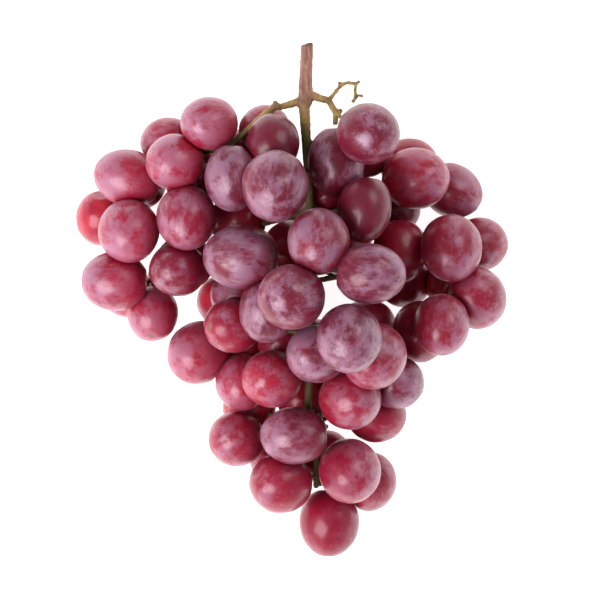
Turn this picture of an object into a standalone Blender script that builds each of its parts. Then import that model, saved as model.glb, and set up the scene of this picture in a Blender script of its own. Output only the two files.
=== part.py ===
"""A bunch of red table grapes, lying on its back on a table.

+Z is up, +Y runs toward the cut end of the peduncle. The berries are ellipsoids that rest against each
other; the stem is the peduncle, the rachis, its side arms and a pedicel for each berry. Sizes and places
below are millimetres, and every mesh is made in metres.
"""
import math
import random

import bmesh
import bpy
import numpy as np
from mathutils import Vector

MM = 0.001

# berries: name, spray, x, y, width across, width along, lean of the long axis in degrees; the rows are
# f in front, m behind them, k at the back, and the list runs from the back of the bunch to its front
BERRIES = [
    ("k1", "heart", -30.0, 0.8, 20.5, 20.5, 0), ("k2", "left_shoulder", -41.8, 10.6, 20.5, 20.5, 0),
    ("k3", "left_wing", -65.4, 2.3, 19.8, 20.5, 0), ("k4", "left_shoulder", -35.7, 52.8, 20.5, 22.0, 0),
    ("k5", "crown", -18.2, 57.0, 19.8, 21.3, 0), ("k6", "crown", -27.0, 29.6, 20.5, 22.0, 0),
    ("k7", "lower_left", -31.9, -23.6, 20.5, 20.5, 0), ("k8", "lower_left", -19.0, -42.6, 20.5, 20.5, 0),
    ("k9", "tip", -11.8, -58.9, 19.8, 20.5, 0), ("k10", "tip", 13.7, -61.9, 20.9, 21.7, 0),
    ("k12", "lower_right", 25.8, -3.0, 19.8, 22.0, 0),
    ("k13", "right_shoulder", 39.5, 29.6, 19.8, 21.3, 0),
    ("k14", "right_wing", 44.1, 3.8, 20.5, 21.3, 0), ("k15", "right_shoulder", 11.0, 36.1, 20.5, 21.3, 0),
    ("k16", "right_wing", 53.2, 3.8, 20.5, 21.3, 0), ("k17", "right_shoulder", 19.8, 57.0, 20.5, 21.3, 0),
    ("m1", "crown", -13.7, 65.0, 19.0, 19.8, 0), ("m2", "left_shoulder", -50.9, 60.4, 19.0, 21.3, 0),
    ("m3", "left_wing", -76.4, 31.5, 19.4, 21.3, 90), ("m4", "heart", -23.9, 1.5, 20.5, 21.3, 0),
    ("m5", "right_shoulder", 59.3, 41.4, 20.5, 23.6, -30), ("m6", "right_wing", 69.5, 22.0, 20.5, 21.3, 0),
    ("m7", "right_wing", 38.4, 19.8, 20.5, 25.0, 90), ("m8", "right_wing", 46.0, -12.2, 21.3, 23.6, 90),
    ("m9", "right_wing", 67.6, 0.4, 22.8, 24.3, -60), ("m12", "tip", 28.5, -67.3, 21.3, 23.2, 90),
    ("m11", "lower_right", 29.3, -45.6, 20.5, 22.8, 0), ("m10", "lower_right", 38.4, -30.4, 20.5, 21.3, 0),
    ("f4", "left_wing", -55.5, -6.1, 19.8, 21.3, 90), ("f3", "left_wing", -70.7, 7.6, 22.8, 25.8, 0),
    ("f1", "left_wing", -65.7, 46.7, 22.0, 26.6, -17), ("f2", "left_wing", -65.0, 25.8, 23.6, 24.3, 90),
    ("f5", "left_shoulder", -49.0, 52.4, 21.7, 22.4, 0),
    ("f6", "left_shoulder", -33.4, 68.0, 20.5, 22.0, 0),
    ("f11", "right_shoulder", 13.3, 53.2, 21.7, 27.4, 90),
    ("f13", "right_shoulder", 25.8, 62.7, 23.2, 23.9, 0),
    ("f10", "crown", -9.1, 60.8, 20.1, 22.4, 90), ("f9", "crown", -26.6, 45.2, 20.9, 25.8, 90),
    ("f7", "left_shoulder", -46.7, 11.4, 20.5, 22.0, 0),
    ("f8", "left_shoulder", -42.9, 30.0, 22.8, 25.1, 90),
    ("f17", "right_shoulder", 23.9, 34.6, 20.5, 25.8, 80),
    ("f14", "right_shoulder", 44.1, 46.4, 23.6, 26.2, 0),
    ("f15", "right_wing", 57.4, 19.8, 23.6, 25.8, 90), ("f16", "right_wing", 54.0, -9.5, 21.3, 23.6, 90),
    ("f19", "heart", -22.4, 16.7, 24.7, 29.3, 0), ("f12", "crown", -8.0, 40.3, 25.1, 27.4, 90),
    ("f20", "heart", 5.3, 25.1, 23.6, 25.5, 90), ("f24", "heart", 26.6, 9.1, 22.8, 27.0, 0),
    ("f22", "lower_left", -38.8, -19.8, 23.6, 25.1, 45),
    ("f30", "lower_left", -24.3, -52.8, 21.3, 21.7, 0),
    ("f27", "lower_left", -22.8, -31.2, 20.5, 22.0, 90), ("f21", "heart", -25.5, -9.5, 20.5, 22.0, 0),
    ("f32", "tip", -7.6, -70.7, 23.2, 24.3, 0), ("f33", "tip", -1.5, -50.2, 22.0, 26.2, 0),
    ("f28", "lower_left", -10.6, -30.0, 22.0, 22.8, 0), ("f18", "heart", -12.5, -4.6, 21.3, 24.3, 90),
    ("f31", "lower_right", 18.2, -38.4, 23.2, 23.9, 0), ("f25", "lower_right", 2.7, -20.5, 22.0, 22.8, 0),
    ("f23", "heart", -3.8, 0.4, 24.7, 25.5, 0), ("f26", "lower_right", 31.2, -21.3, 24.3, 25.5, 60),
    ("f29", "lower_right", 18.6, -14.1, 24.7, 26.2, 90), ("f35", "tip", 9.9, -86.6, 23.2, 26.6, 90),
    ("f34", "tip", 19.0, -65.4, 23.9, 24.7, 90),
]
# the bunch's depth, left side and right side at each y
OUTLINE = [
    (-100, 26, 2, 18), (-90, 28, -4, 23), (-70, 38, -20, 40), (-50, 50, -35, 42), (-30, 60, -52, 52),
    (-15, 66, -66, 70), (0, 70, -82, 80), (25, 72, -86, 79), (45, 68, -77, 68), (60, 60, -65, 45),
    (75, 44, -45, 37),
]
# stem lines: x, y, z, radius
RACHIS = [
    (2.7, 97.3, 47, 2.4), (2.1, 82, 46, 2.5), (2.3, 77, 46, 3.1), (1.6, 73, 46, 2.2), (2.3, 62, 45, 1.9),
    (3.4, 45, 44, 1.8), (4.2, 26, 43, 1.75), (4.6, 7, 42, 1.7), (4.2, -12, 40, 1.65), (3.4, -32, 36, 1.6),
    (3.0, -39, 34, 1.5), (4.2, -49, 29, 1.4), (6.1, -61, 24, 1.3), (6.1, -72, 20, 1.1),
]
LEFT_ARM = [
    (1.8, 76, 46, 1.8), (-7.2, 73.3, 47, 1.3), (-9.1, 73.6, 47.5, 1.7), (-14.4, 70, 47, 1.2),
    (-18.6, 66, 45.5, 1.2), (-22.8, 62, 44, 1.1), (-27, 58.5, 42, 1.0),
]
RIGHT_ARM = [(3.6, 78, 46, 1.9), (11, 75.6, 47, 1.4), (13.7, 71, 47.5, 1.3), (13.3, 66.5, 47, 1.1)]
BARE_TWIG = [
    (11, 75.9, 47, 0.9), (15.2, 81.1, 49, 0.8), (17.7, 82.5, 51, 0.8), (21.1, 82, 53, 0.85),
    (20.9, 79.4, 55, 0.75), (21.1, 76.6, 57, 0.8), (19.8, 74.8, 58, 0.9),
]
STUBS = [
    [(15.2, 81.1, 49, 0.7), (15.0, 82.8, 49.8, 0.8)],
    [(21.1, 82, 53, 0.7), (22.7, 82.9, 53.4, 0.8)],
    [(20.95, 77.6, 56.4, 0.6), (22.6, 77.4, 56.8, 0.6), (23.8, 77.2, 57, 1.0)],
    [(-9.1, 73.6, 47.5, 0.9), (-9.6, 75.6, 48.2, 1.0)],
    [(13.7, 71, 47.5, 0.9), (15.9, 72.1, 49, 1.0)],
]
# places that stay open from front to back: x, y, radius
GAPS = [
    (-44.5, 0.0, 3.6), (26.2, 48.3, 1.6), (39.1, 2.3, 1.8), (35.3, -8.7, 1.0), (16.2, -50.5, 2.2),
    (13, -48, 1.0),
]

# the berries
BACK = {"f": 0.0, "m": 12.0, "k": 60.0}      # how much deeper each row starts than the bunch's front
BERRY_STRETCH = 1.13                         # a berry is at least this much longer than wide
MIDDLE = (4.0, 40.0)                         # x and z of the rachis where the bunch is widest
DOWN_AND_OUT = (0.6, 14.0)                   # blossom ends point away from the rachis and toward the tip
PRESSED = 0.8                                # how far a berry is flattened by the table
FACETED = 1.01                               # an ellipsoid of few faces is made larger to be true to size
BERRY_SIDES, BERRY_RINGS = 10, 6

# berries out of sight (row h)
UNSEEN_TRIES = 9000
UNSEEN_WIDTH = (20.0, 22.8)
UNSEEN_STRETCH = (1.06, 1.16)
UNSEEN_FROM, UNSEEN_TO = (10, -85, -100), (80, 80, 75)     # z, x, y
UNSEEN_LEAN, UNSEEN_DOWN = 8, (0.3, 8)       # how their long axes scatter, and lean toward the tip
UNSEEN_UNDER = 3.0                           # the berries that hide one lie at least this much higher

# smaller berries that fill the crevices at last
CREVICE_TRIES, CREVICE_SEED = 60000, 5
CREVICE_BOX = ((-80.0, -95.0, 9.0), (78.0, 72.0, 75.0))
CREVICE_WIDTH = (18.2, 22.0)
CREVICE_STRETCH = 1.05
CREVICE_SUNK = (1.5, 2.3)                    # how deep one sinks into its own spray
CREVICE_APART, CREVICE_STEM = 0.7, 0.8       # from the other sprays and from the stem
CREVICE_REACH, SURROUNDED = 8.0, 2.6         # it shows only where berries over it stand all round, this near
CREVICE_DEEP = 4.0                           # below the berries that surround it
SQUEEZED = 0.86                              # how much one may squeeze in at first
SEED = 7

# how the berries settle; c and h are the rows out of sight, k, m and f those of the list
SIDEWAYS = {"c": 1.0, "h": 1.0, "k": 0.4, "m": 0.12, "f": 0.08}    # how easily a push moves one sideways
HELD = {"c": 0.0, "h": 0.008, "k": 0.012, "m": 0.04, "f": 0.05}    # how strongly it returns to its place
NEIGHBOURS = 50.0                            # berries farther apart than this never meet
STACKED = 0.96                               # two nearer than this share of touching lie one above the other
LEAST_STEP = 0.30                            # of the height between two stacked berries that touch
STEP_SHARE, PUSH_SHARE, LONGEST_MOVE = 0.25, 0.5, 2.5
START_GAP = 0.3                              # between neighbours before the sprays are joined
JOINED = 2.0                                 # how deep neighbours of one spray sink into each other
LOOSE = 0.25                                 # between others of one spray
APART = 1.3                                  # between two sprays
LANDING = 3.6                                # a berry this close over the table comes down onto it
STEM_ROOM = 0.5
PAST_STEM = 3.0                              # the front row lies above the stem by this, the back row below
# rounds, pull back to the starting height, fall and landing of each stage
SEEN_STAGES = [(250, 0.02, 0.03, 0.0), (150, 0.002, 0.03, 0.0)]
UNSEEN_STAGES = [(400, 0.001, 0.03, 0.0)]
JOINED_STAGES = [(900, 0.001, 0.04, 0.3), (700, 0.0, 0.04, 0.3), (600, 0.0, 0.01, 0.2)]
JOIN_EVERY, JOIN_UNTIL = 150, 1000

# the pedicels
PEDICEL = 0.95                               # radius
THICKENING, THICKEST_BRANCH = 0.22, 1.35     # how the radius grows with the berries on it, and its limit
SLACK = 0.4                                  # between the stem and a berry's skin
CUP, CUP_LENGTH = 1.7, 1.8                   # the pedicel's widened end at the berry
CELL = 2.0                                   # the grid that they are routed on
GRID_LOW, GRID_HIGH = (-88.0, -100.0, 1.0), (86.0, 80.0, 104.0)
FAR_OFF = 9.0                                # clearances are measured up to this
WAY_PRICES = [(8.5, 3.0), (1.9, 1.0), (1.3, 1.6), (0.6, 5.0)]      # room around the way, price of its length
BLOCKED, BLOCKED_DEEPER, LOWEST_WAY = 40.0, 20.0, 3.0
OPEN_TO_SKY = 6.0                            # how much more a way costs where it would show from above
STARTS, START_OFF = 160, 2.2                 # places to leave a berry from, and their distance from its skin
START_ROOM, START_BLOCKED, START_WEIGHT = 1.0, 200, 3
TURN_PRICE = {"f": 14, "m": 6, "k": 6, "h": 6, "c": 6}     # of leaving it away from its stem end
TAUT_ROUNDS, TAUT_FAST, TAUT_SLOW = (40, 20), 0.6, 0.15
THINNING = 1.5                               # how far a pedicel's line may be off the way that was found
THINNING_SPAN, THINNING_ROOM, THINNING_CHANGE = 12, 0.25, 0.3

# the stem's tubes
CRUMB = 12                                   # a loose sliver has fewer vertices than this
RACHIS_SIDES, ARM_SIDES, PEDICEL_SIDES = 8, 6, 5
CUT_SLANT = -0.35                            # of the peduncle's cut end


def unit(v):
    return v / max(1e-9, float(np.sqrt((v * v).sum())))


def skin(inverse, u):
    """Distance from an ellipsoid's centre to its skin along each unit direction."""
    return 1 / np.sqrt(np.maximum(1e-9, np.einsum("ni,ij,nj->n", u, inverse, u)))


def outline(y):
    ys = [row[0] for row in OUTLINE]
    return [float(np.interp(y, ys, [row[k] for row in OUTLINE])) for k in (1, 2, 3)]


class Bunch:
    """Berries as ellipsoids: centre, half sizes (across, along), direction from stem end to blossom end."""

    def __init__(self):
        self.names = []
        self.sprays = []
        self.order = []
        self.cen = np.zeros((0, 3))
        self.half = np.zeros((0, 2))
        self.axes = np.zeros((0, 3))

    def add(self, name, spray, order, centre, half, axis):
        self.names.append(name)
        self.sprays.append(spray)
        self.order.append(order)
        self.cen = np.vstack([self.cen, centre])
        self.half = np.vstack([self.half, half])
        self.axes = np.vstack([self.axes, axis])

    def prepare(self):
        self.n = len(self.names)
        across, along = self.half[:, 0] ** 2, self.half[:, 1] ** 2
        outer = self.axes[:, :, None] * self.axes[:, None, :]
        self.shape = across[:, None, None] * np.eye(3)[None] + (along - across)[:, None, None] * outer
        i, j = np.triu_indices(self.n, 1)
        near = np.hypot(self.cen[i, 0] - self.cen[j, 0], self.cen[i, 1] - self.cen[j, 1]) < NEIGHBOURS
        self.i, self.j = i[near], j[near]
        self.row = np.array([name[0] for name in self.names])
        side = np.array([SIDEWAYS[row] for row in self.row])
        self.ease = np.stack([side, side, np.ones(self.n)], axis=1)
        self.hold = np.array([HELD[row] for row in self.row])
        self.home = self.cen.copy()
        self.rank = np.array(self.order)
        self.tie = np.zeros(len(self.i), bool)
        self.gap = np.full(len(self.i), START_GAP)

    def reach(self, which, u):
        """How far each ellipsoid reaches along the unit direction u."""
        return np.sqrt(np.einsum("ni,nij,nj->n", u, self.shape[which], u))

    def space(self):
        d = self.cen[self.j] - self.cen[self.i]
        length = np.sqrt((d ** 2).sum(1))
        u = d / length[:, None]
        return length - self.reach(self.i, u) - self.reach(self.j, u)

    def settle(self, stages, joining=False):
        done = 0
        for rounds, back, fall, landing in stages:
            for _ in range(rounds):
                if joining and done % JOIN_EVERY == 0 and done < JOIN_UNTIL:
                    self.join()
                self.step(back, fall, landing)
                done += 1

    def step(self, back, fall, landing):
        i, j, cen, ease = self.i, self.j, self.cen, self.ease
        d = cen[j] - cen[i]
        flat = np.hypot(d[:, 0], d[:, 1])
        u = d.copy()
        u[:, 2] = 0
        u /= np.maximum(flat, 1e-6)[:, None]
        wide = self.reach(i, u) + self.reach(j, u)
        # of two that overlap as seen from above, the one later in the list lies higher
        sign = np.sign(self.rank[j] - self.rank[i]) * (flat < wide * STACKED)
        least = sign * LEAST_STEP * np.sqrt(np.maximum(0, wide ** 2 - flat ** 2))
        wrong = (sign != 0) & ((d[:, 2] - least) * sign < 0)
        short = np.where(wrong, least - d[:, 2], 0)
        d[:, 2] += short
        length = np.sqrt((d ** 2).sum(1))
        u = d / np.maximum(length, 1e-6)[:, None]
        lack = self.reach(i, u) + self.reach(j, u) + self.gap - length
        lack = np.where(self.tie, lack, np.maximum(0, lack))
        push = lack / ((ease[i] + ease[j]) * u * u).sum(1) * PUSH_SHARE
        move = np.zeros_like(cen)
        np.add.at(move, j, ease[j] * u * push[:, None])
        np.add.at(move, i, -ease[i] * u * push[:, None])
        np.add.at(move[:, 2], j, short * STEP_SHARE)
        np.add.at(move[:, 2], i, -short * STEP_SHARE)
        for line in (RACHIS, LEFT_ARM, RIGHT_ARM):
            for p, q in zip(line, line[1:]):
                move += self.leave_stem(np.array(p), np.array(q))
        cen = cen + np.clip(move, -LONGEST_MOVE, LONGEST_MOVE)
        cen[:, :2] += (self.home[:, :2] - cen[:, :2]) * self.hold[:, None]
        lowest = np.sqrt(self.shape[:, 2, 2]) - PRESSED
        close = cen[:, 2] - lowest < LANDING
        cen[:, 2] += (self.home[:, 2] - cen[:, 2]) * back - fall - close * landing
        cen[:, 2] = np.maximum(cen[:, 2], lowest)
        self.cen = cen

    def leave_stem(self, p, q):
        """The push that keeps each berry off the stem between p and q."""
        radius = (p[3] + q[3]) / 2
        along = q[:3] - p[:3]
        t = np.clip(((self.cen - p[:3]) * along).sum(1) / (along ** 2).sum(), 0, 1)
        v = self.cen - (p[:3] + t[:, None] * along)
        v[:, 2] = np.where((self.row == "f") & (v[:, 2] < PAST_STEM), PAST_STEM, v[:, 2])
        v[:, 2] = np.where((self.row == "k") & (v[:, 2] > -PAST_STEM), -PAST_STEM, v[:, 2])
        length = np.sqrt((v ** 2).sum(1))
        u = v / length[:, None]
        short = np.maximum(0, self.reach(np.arange(self.n), u) + radius + STEM_ROOM - length)
        return self.ease * u * (short / (self.ease * u * u).sum(1))[:, None] * PUSH_SHARE

    def join(self):
        """In each spray the shortest chain of neighbours is pulled together; sprays are kept apart."""
        space, root = self.space(), list(range(self.n))

        def find(k):
            while root[k] != k:
                k = root[k]
            return k
        self.same = np.array([self.sprays[i] == self.sprays[j] for i, j in zip(self.i, self.j)])
        self.tie = np.zeros(len(self.i), bool)
        for k in np.argsort(space, kind="stable"):
            a, b = find(self.i[k]), find(self.j[k])
            if self.same[k] and a != b:
                root[a] = b
                self.tie[k] = True
        self.gap = np.where(self.tie, -JOINED, np.where(self.same, LOOSE, APART))


def add_seen(bunch):
    """The berries of the list, each started at the depth of its row."""
    for k, (name, spray, x, y, across, along, lean) in enumerate(BERRIES):
        half_width, shown = across / 2, along / 2
        half_length = half_width * max(BERRY_STRETCH, along / across)
        thick, left, right = outline(y)
        middle, half_span = (left + right) / 2, (right - left) / 2
        top = thick * (0.5 + 0.5 * math.sqrt(max(0.0, 1 - ((x - middle) / half_span) ** 2)))
        z = max(half_width - PRESSED, top - half_width - BACK[name[0]])
        # what doesn't show of the long axis goes up in the front row, and down behind it
        part = (shown ** 2 - half_width ** 2) / (half_length ** 2 - half_width ** 2)
        part = min(1.0, max(0.0, part))
        d = np.array([math.cos(math.radians(lean)), math.sin(math.radians(lean)), 0.0])
        if d[0] * (x - MIDDLE[0]) * DOWN_AND_OUT[0] - d[1] * DOWN_AND_OUT[1] < 0:
            d = -d
        rise = 1 if name[0] == "f" else -1
        axis = unit(d * math.sqrt(part) + np.array([0, 0, rise * math.sqrt(1 - part)]))
        bunch.add(name, spray, k, (x, y, z), (half_width, half_length), axis)


def add_unseen(bunch, rng):
    """Berries out of sight, from the table up, wherever one fits under those above it."""
    seen, reach = bunch.cen.copy(), bunch.half[:, 0].copy()
    limits = list(zip(UNSEEN_FROM, UNSEEN_TO))
    for z, x, y in sorted(tuple(rng.uniform(*pair) for pair in limits) for _ in range(UNSEEN_TRIES)):
        b = rng.uniform(*UNSEEN_WIDTH) / 2
        a = b * rng.uniform(*UNSEEN_STRETCH)
        if any(math.hypot(x - gx, y - gy) < b + gr for gx, gy, gr in GAPS):
            continue
        if (np.sqrt(((bunch.cen - (x, y, z)) ** 2).sum(1)) < (bunch.half[:, 0] + b) * SQUEEZED).any():
            continue
        if min(math.dist((x, y, z), point[:3]) for point in RACHIS) < b + 1:
            continue
        over = seen[:, 2] > z + UNSEEN_UNDER
        turns = [k * math.pi / 8 for k in range(16)]
        ring = [(x + b * math.cos(t), y + b * math.sin(t)) for t in turns] + [(x, y)]
        if any((np.hypot(seen[over, 0] - px, seen[over, 1] - py) > reach[over]).all() for px, py in ring):
            continue
        lean = np.array([rng.uniform(-UNSEEN_LEAN, UNSEEN_LEAN) for _ in range(3)])
        axis = unit(np.array([x - MIDDLE[0], y * UNSEEN_DOWN[0] - UNSEEN_DOWN[1], z - MIDDLE[1]]) + lean)
        bunch.add("h%d" % len(bunch.names), None, -1, (x, y, z), (b, a), axis)


def surrounded(x, y, over, reach):
    """Whether a point lies under the berries over it, or in a crevice between them."""
    dx, dy = over[:, 0] - x, over[:, 1] - y
    away = np.hypot(dx, dy) - reach
    if (away < 0).any():
        return True
    turns = np.sort(np.arctan2(dy, dx)[away < CREVICE_REACH])
    if len(turns) < 3:
        return False
    return float(np.diff(np.append(turns, turns[0] + 2 * math.pi)).max()) < SURROUNDED


def inside(bunch, centre, half):
    """Whether a berry of this half width shows nowhere but in crevices, and leaves the open places open."""
    x, y, z = centre
    if any(math.hypot(x - gx, y - gy) < half + gr for gx, gy, gr in GAPS):
        return False
    over = np.where(bunch.cen[:len(BERRIES), 2] > z + CREVICE_DEEP)[0]
    turns = [k * math.pi / 6 for k in range(12)] if half else [0.0]
    ring = [(x + half * math.cos(t), y + half * math.sin(t)) for t in turns]
    return all(surrounded(*point, bunch.cen[over], bunch.half[over, 0]) for point in ring)


def stem_distance(points):
    best = np.full(len(points), 1e3)
    for line in (RACHIS, LEFT_ARM, RIGHT_ARM):
        for p, q in zip(line, line[1:]):
            start, along = np.array(p[:3]), np.array(q[:3]) - np.array(p[:3])
            t = np.clip(((points - start) @ along) / (along ** 2).sum(), 0, 1)
            off = np.sqrt(((points - start - t[:, None] * along) ** 2).sum(1))
            best = np.minimum(best, off - (p[3] + q[3]) / 2)
    return best


def fill_crevices(bunch):
    """Berries in what room is left inside, the largest first, each sunk into one spray, clear of the rest."""
    rng = np.random.default_rng(CREVICE_SEED)
    points = rng.uniform(*CREVICE_BOX, (CREVICE_TRIES, 3))
    room = np.array([room_from(bunch, k, points) for k in range(bunch.n)])
    by_stem = stem_distance(points) - CREVICE_STEM
    least = CREVICE_WIDTH[0] / 2
    roomy = np.where(np.minimum(room.min(0) + CREVICE_SUNK[1], by_stem) >= least)[0]
    roomy = [k for k in roomy if inside(bunch, points[k], 0.0)]
    roomy = np.array([k for k in roomy if inside(bunch, points[k], least)])
    points, room, by_stem = points[roomy], room[:, roomy], by_stem[roomy]
    while True:
        best = (0.0, 0, None)
        for spray in sorted(set(bunch.sprays)):
            own = np.array([name == spray for name in bunch.sprays])
            nearest = room[own].min(0)
            width = np.minimum(room[~own].min(0) - CREVICE_APART, nearest + CREVICE_SUNK[1])
            width = np.minimum(np.minimum(width, by_stem), CREVICE_WIDTH[1] / 2)
            width = np.minimum(width, points[:, 2] + PRESSED)
            width = np.where(width >= nearest + CREVICE_SUNK[0], width, 0.0)
            at = int(np.argmax(width))
            best = max(best, (float(width[at]), at, spray))
        half, at, spray = best
        if half < least:
            break
        if not inside(bunch, points[at], half):
            by_stem[at] = 0.0
            continue
        axis = unit(points[at] - np.array([MIDDLE[0], points[at][1] + UNSEEN_DOWN[1], MIDDLE[1]]))
        bunch.add("c%d" % bunch.n, spray, -1, points[at], (half, half * CREVICE_STRETCH), axis)
        bunch.prepare()
        room = np.vstack([room, room_from(bunch, bunch.n - 1, points)])
    return bunch


def room_from(bunch, k, points):
    """Distance of each point from one berry's skin."""
    d = points - bunch.cen[k]
    far = np.sqrt((d ** 2).sum(1)) + 1e-9
    u = d / far[:, None]
    return far - skin(np.linalg.inv(bunch.shape[k]), u)


def lay_out():
    """All berries, settled on the table and against each other."""
    bunch = Bunch()
    add_seen(bunch)
    bunch.prepare()
    bunch.settle(SEEN_STAGES)
    seen_home = bunch.home[:, :2].copy()
    add_unseen(bunch, random.Random(SEED))
    bunch.prepare()
    bunch.home[:len(seen_home), :2] = seen_home
    bunch.settle(UNSEEN_STAGES)
    # a berry out of sight belongs to the spray of the seen one that it lies nearest to
    seen = len(BERRIES)
    for k in range(seen, bunch.n):
        away = np.sqrt(((bunch.cen[:seen] - bunch.cen[k]) ** 2).sum(1)) - bunch.half[:seen, 0]
        bunch.sprays[k] = bunch.sprays[int(np.argmin(away))]
    bunch.settle(JOINED_STAGES, joining=True)
    return fill_crevices(bunch)


def clearance(bunch, points, leave_out=None):
    """Distance of each point from the nearest berry's skin, negative inside one, FAR_OFF at most."""
    best = np.full(len(points), FAR_OFF)
    inverses = np.linalg.inv(bunch.shape)
    for k in range(bunch.n):
        if k == leave_out:
            continue
        near = np.where((np.abs(points - bunch.cen[k]) < bunch.half[k, 1] + FAR_OFF).all(1))[0]
        d = points[near] - bunch.cen[k]
        far = np.sqrt((d ** 2).sum(1)) + 1e-9
        best[near] = np.minimum(best[near], far - skin(inverses[k], d / far[:, None]))
    return best


class Routes:
    """Pedicels through the free space among the berries, each by its cheapest way to the rachis."""

    def __init__(self, bunch):
        self.bunch = bunch
        self.low = np.array(GRID_LOW)
        self.size = ((np.array(GRID_HIGH) - self.low) / CELL).astype(int) + 1
        self.fill_costs()
        self.spread()
        self.trace()
        self.smooth()

    def fill_costs(self):
        ticks = [self.low[k] + CELL * np.arange(self.size[k]) for k in range(3)]
        points = np.stack(np.meshgrid(*ticks, indexing="ij"), -1).reshape(-1, 3)
        clear = clearance(self.bunch, points).reshape(self.size)
        inside = BLOCKED - BLOCKED_DEEPER * np.minimum(clear, 0)
        cost = np.select([clear > room for room, _ in WAY_PRICES], [price for _, price in WAY_PRICES], inside)
        cost[:, :, ticks[2] < LOWEST_WAY] = BLOCKED
        covered = np.cumsum((clear < 0)[:, :, ::-1], axis=2)[:, :, ::-1] > 0
        cost = np.where(covered | (clear < 0), cost, np.minimum(cost * OPEN_TO_SKY, BLOCKED))
        self.cost = cost

    def spread(self):
        """The cheapest way from every cell to the stem lines, worked out by passing costs to neighbours."""
        far = np.full(self.size, 1e6)
        self.source = {}
        for line in (RACHIS[3:], LEFT_ARM[3:], RIGHT_ARM[1:3]):
            for p, q in zip(line, line[1:]):
                p, q = np.array(p[:3]), np.array(q[:3])
                steps = int(math.dist(p, q))
                for k in range(steps + 1):
                    at = p + (q - p) * k / steps
                    cell = tuple(np.rint((at - self.low) / CELL).astype(int))
                    far[cell] = 0.0
                    self.source.setdefault(cell, at)
        around = [(i, j, k) for i in (-1, 0, 1) for j in (-1, 0, 1) for k in (-1, 0, 1)]
        ahead = [s for s in around if s > (0, 0, 0)]
        for _ in range(160):
            before = far.copy()
            for s in ahead:
                a = tuple(slice(max(0, -v), self.size[k] - max(0, v)) for k, v in enumerate(s))
                b = tuple(slice(max(0, v), self.size[k] - max(0, -v)) for k, v in enumerate(s))
                price = math.sqrt(sum(v * v for v in s)) * CELL * 0.5 * (self.cost[a] + self.cost[b])
                far[b] = np.minimum(far[b], far[a] + price)
                far[a] = np.minimum(far[a], far[b] + price)
            if np.allclose(before, far):
                break
        self.far = far
        self.around = [s for s in around if s != (0, 0, 0)]

    def trace(self):
        """Each berry's attachment, near its stem end, and the chain of cells from there to the stem."""
        golden = math.pi * (3 - math.sqrt(5))
        heights = np.linspace(-0.99, 0.99, STARTS)
        turns = golden * np.arange(STARTS)
        flat = np.sqrt(1 - heights ** 2)
        dirs = np.stack([np.cos(turns) * flat, np.sin(turns) * flat, heights], -1)
        inverses = np.linalg.inv(self.bunch.shape)
        self.parent, self.tips = {}, {}
        for k in range(self.bunch.n):
            reach = skin(inverses[k], dirs)
            start = self.bunch.cen[k] + dirs * (reach + START_OFF)[:, None]
            angle = np.arccos(np.clip(-(dirs * self.bunch.axes[k]).sum(1), -1, 1))
            cell = np.rint((start - self.low) / CELL).astype(int)
            inside = ((cell >= 0) & (cell < self.size)).all(1)
            spot = tuple(cell[inside].T)
            price = np.full(len(dirs), 1e9)
            price[inside] = self.far[spot] + self.cost[spot] * START_WEIGHT
            price += angle * TURN_PRICE[self.bunch.row[k]]
            price += np.where(clearance(self.bunch, start) < START_ROOM, START_BLOCKED, 0)
            best = int(np.argmin(price))
            at = tuple(cell[best])
            end = self.bunch.cen[k] + dirs[best] * (reach[best] + SLACK)
            self.tips.setdefault(at, []).append((k, dirs[best], end))
            while at not in self.source and at not in self.parent:
                self.parent[at] = self.next_cell(at)
                at = self.parent[at]

    def next_cell(self, at):
        best = (1e12, None)
        for s in self.around:
            to = tuple(int(a + v) for a, v in zip(at, s))
            if all(0 <= c < n for c, n in zip(to, self.size)):
                price = math.sqrt(sum(v * v for v in s)) * CELL * 0.5 * (self.cost[to] + self.cost[at])
                best = min(best, (self.far[to] + price, to))
        return best[1]

    def smooth(self):
        """The chains are drawn taut, kept off the berries' skins, and get their thickness."""
        cells = sorted(set(self.parent) | set(self.parent.values()) | set(self.tips))
        index = {cell: k for k, cell in enumerate(cells)}
        pos = np.array([self.source.get(c, self.low + CELL * np.array(c)) for c in cells])
        self.up = [index[self.parent[c]] if c in self.parent else -1 for c in cells]
        self.ends = [self.tips.get(c, []) for c in cells]
        self.kids = [[] for _ in cells]
        load = np.zeros(len(cells))
        for k, cell in enumerate(cells):
            if self.up[k] >= 0:
                self.kids[self.up[k]].append(k)
            at = k
            while at >= 0:
                load[at] += len(self.ends[k])
                at = self.up[at]
        self.load = load
        fixed = np.array([u < 0 for u in self.up])
        thick = np.minimum(THICKEST_BRANCH, PEDICEL * np.maximum(load, 1) ** THICKENING)
        self.radius = np.where(fixed, THICKEST_BRANCH, thick)
        for taut in [TAUT_FAST] * TAUT_ROUNDS[0] + [TAUT_SLOW] * TAUT_ROUNDS[1]:
            target = pos.copy()
            for k in np.where(~fixed)[0]:
                near = [pos[self.up[k]]] + [pos[c] for c in self.kids[k]]
                near += [end + d * CUP_LENGTH for _, d, end in self.ends[k]]
                target[k] = 0.5 * pos[k] + 0.5 * np.mean(near, axis=0)
            new = pos + (target - pos) * taut
            for _ in range(2):
                clear = clearance(self.bunch, new)
                ahead = [clearance(self.bunch, new + e) for e in np.eye(3) * 0.2]
                behind = [clearance(self.bunch, new - e) for e in np.eye(3) * 0.2]
                slope = np.stack(ahead, -1) - np.stack(behind, -1)
                slope /= np.maximum(1e-6, np.sqrt((slope ** 2).sum(1)))[:, None]
                short = np.clip(self.radius + SLACK - clear, 0, 0.8)
                new = np.where(fixed[:, None], pos, new + slope * short[:, None])
            pos = new
        self.pos = pos

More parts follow.
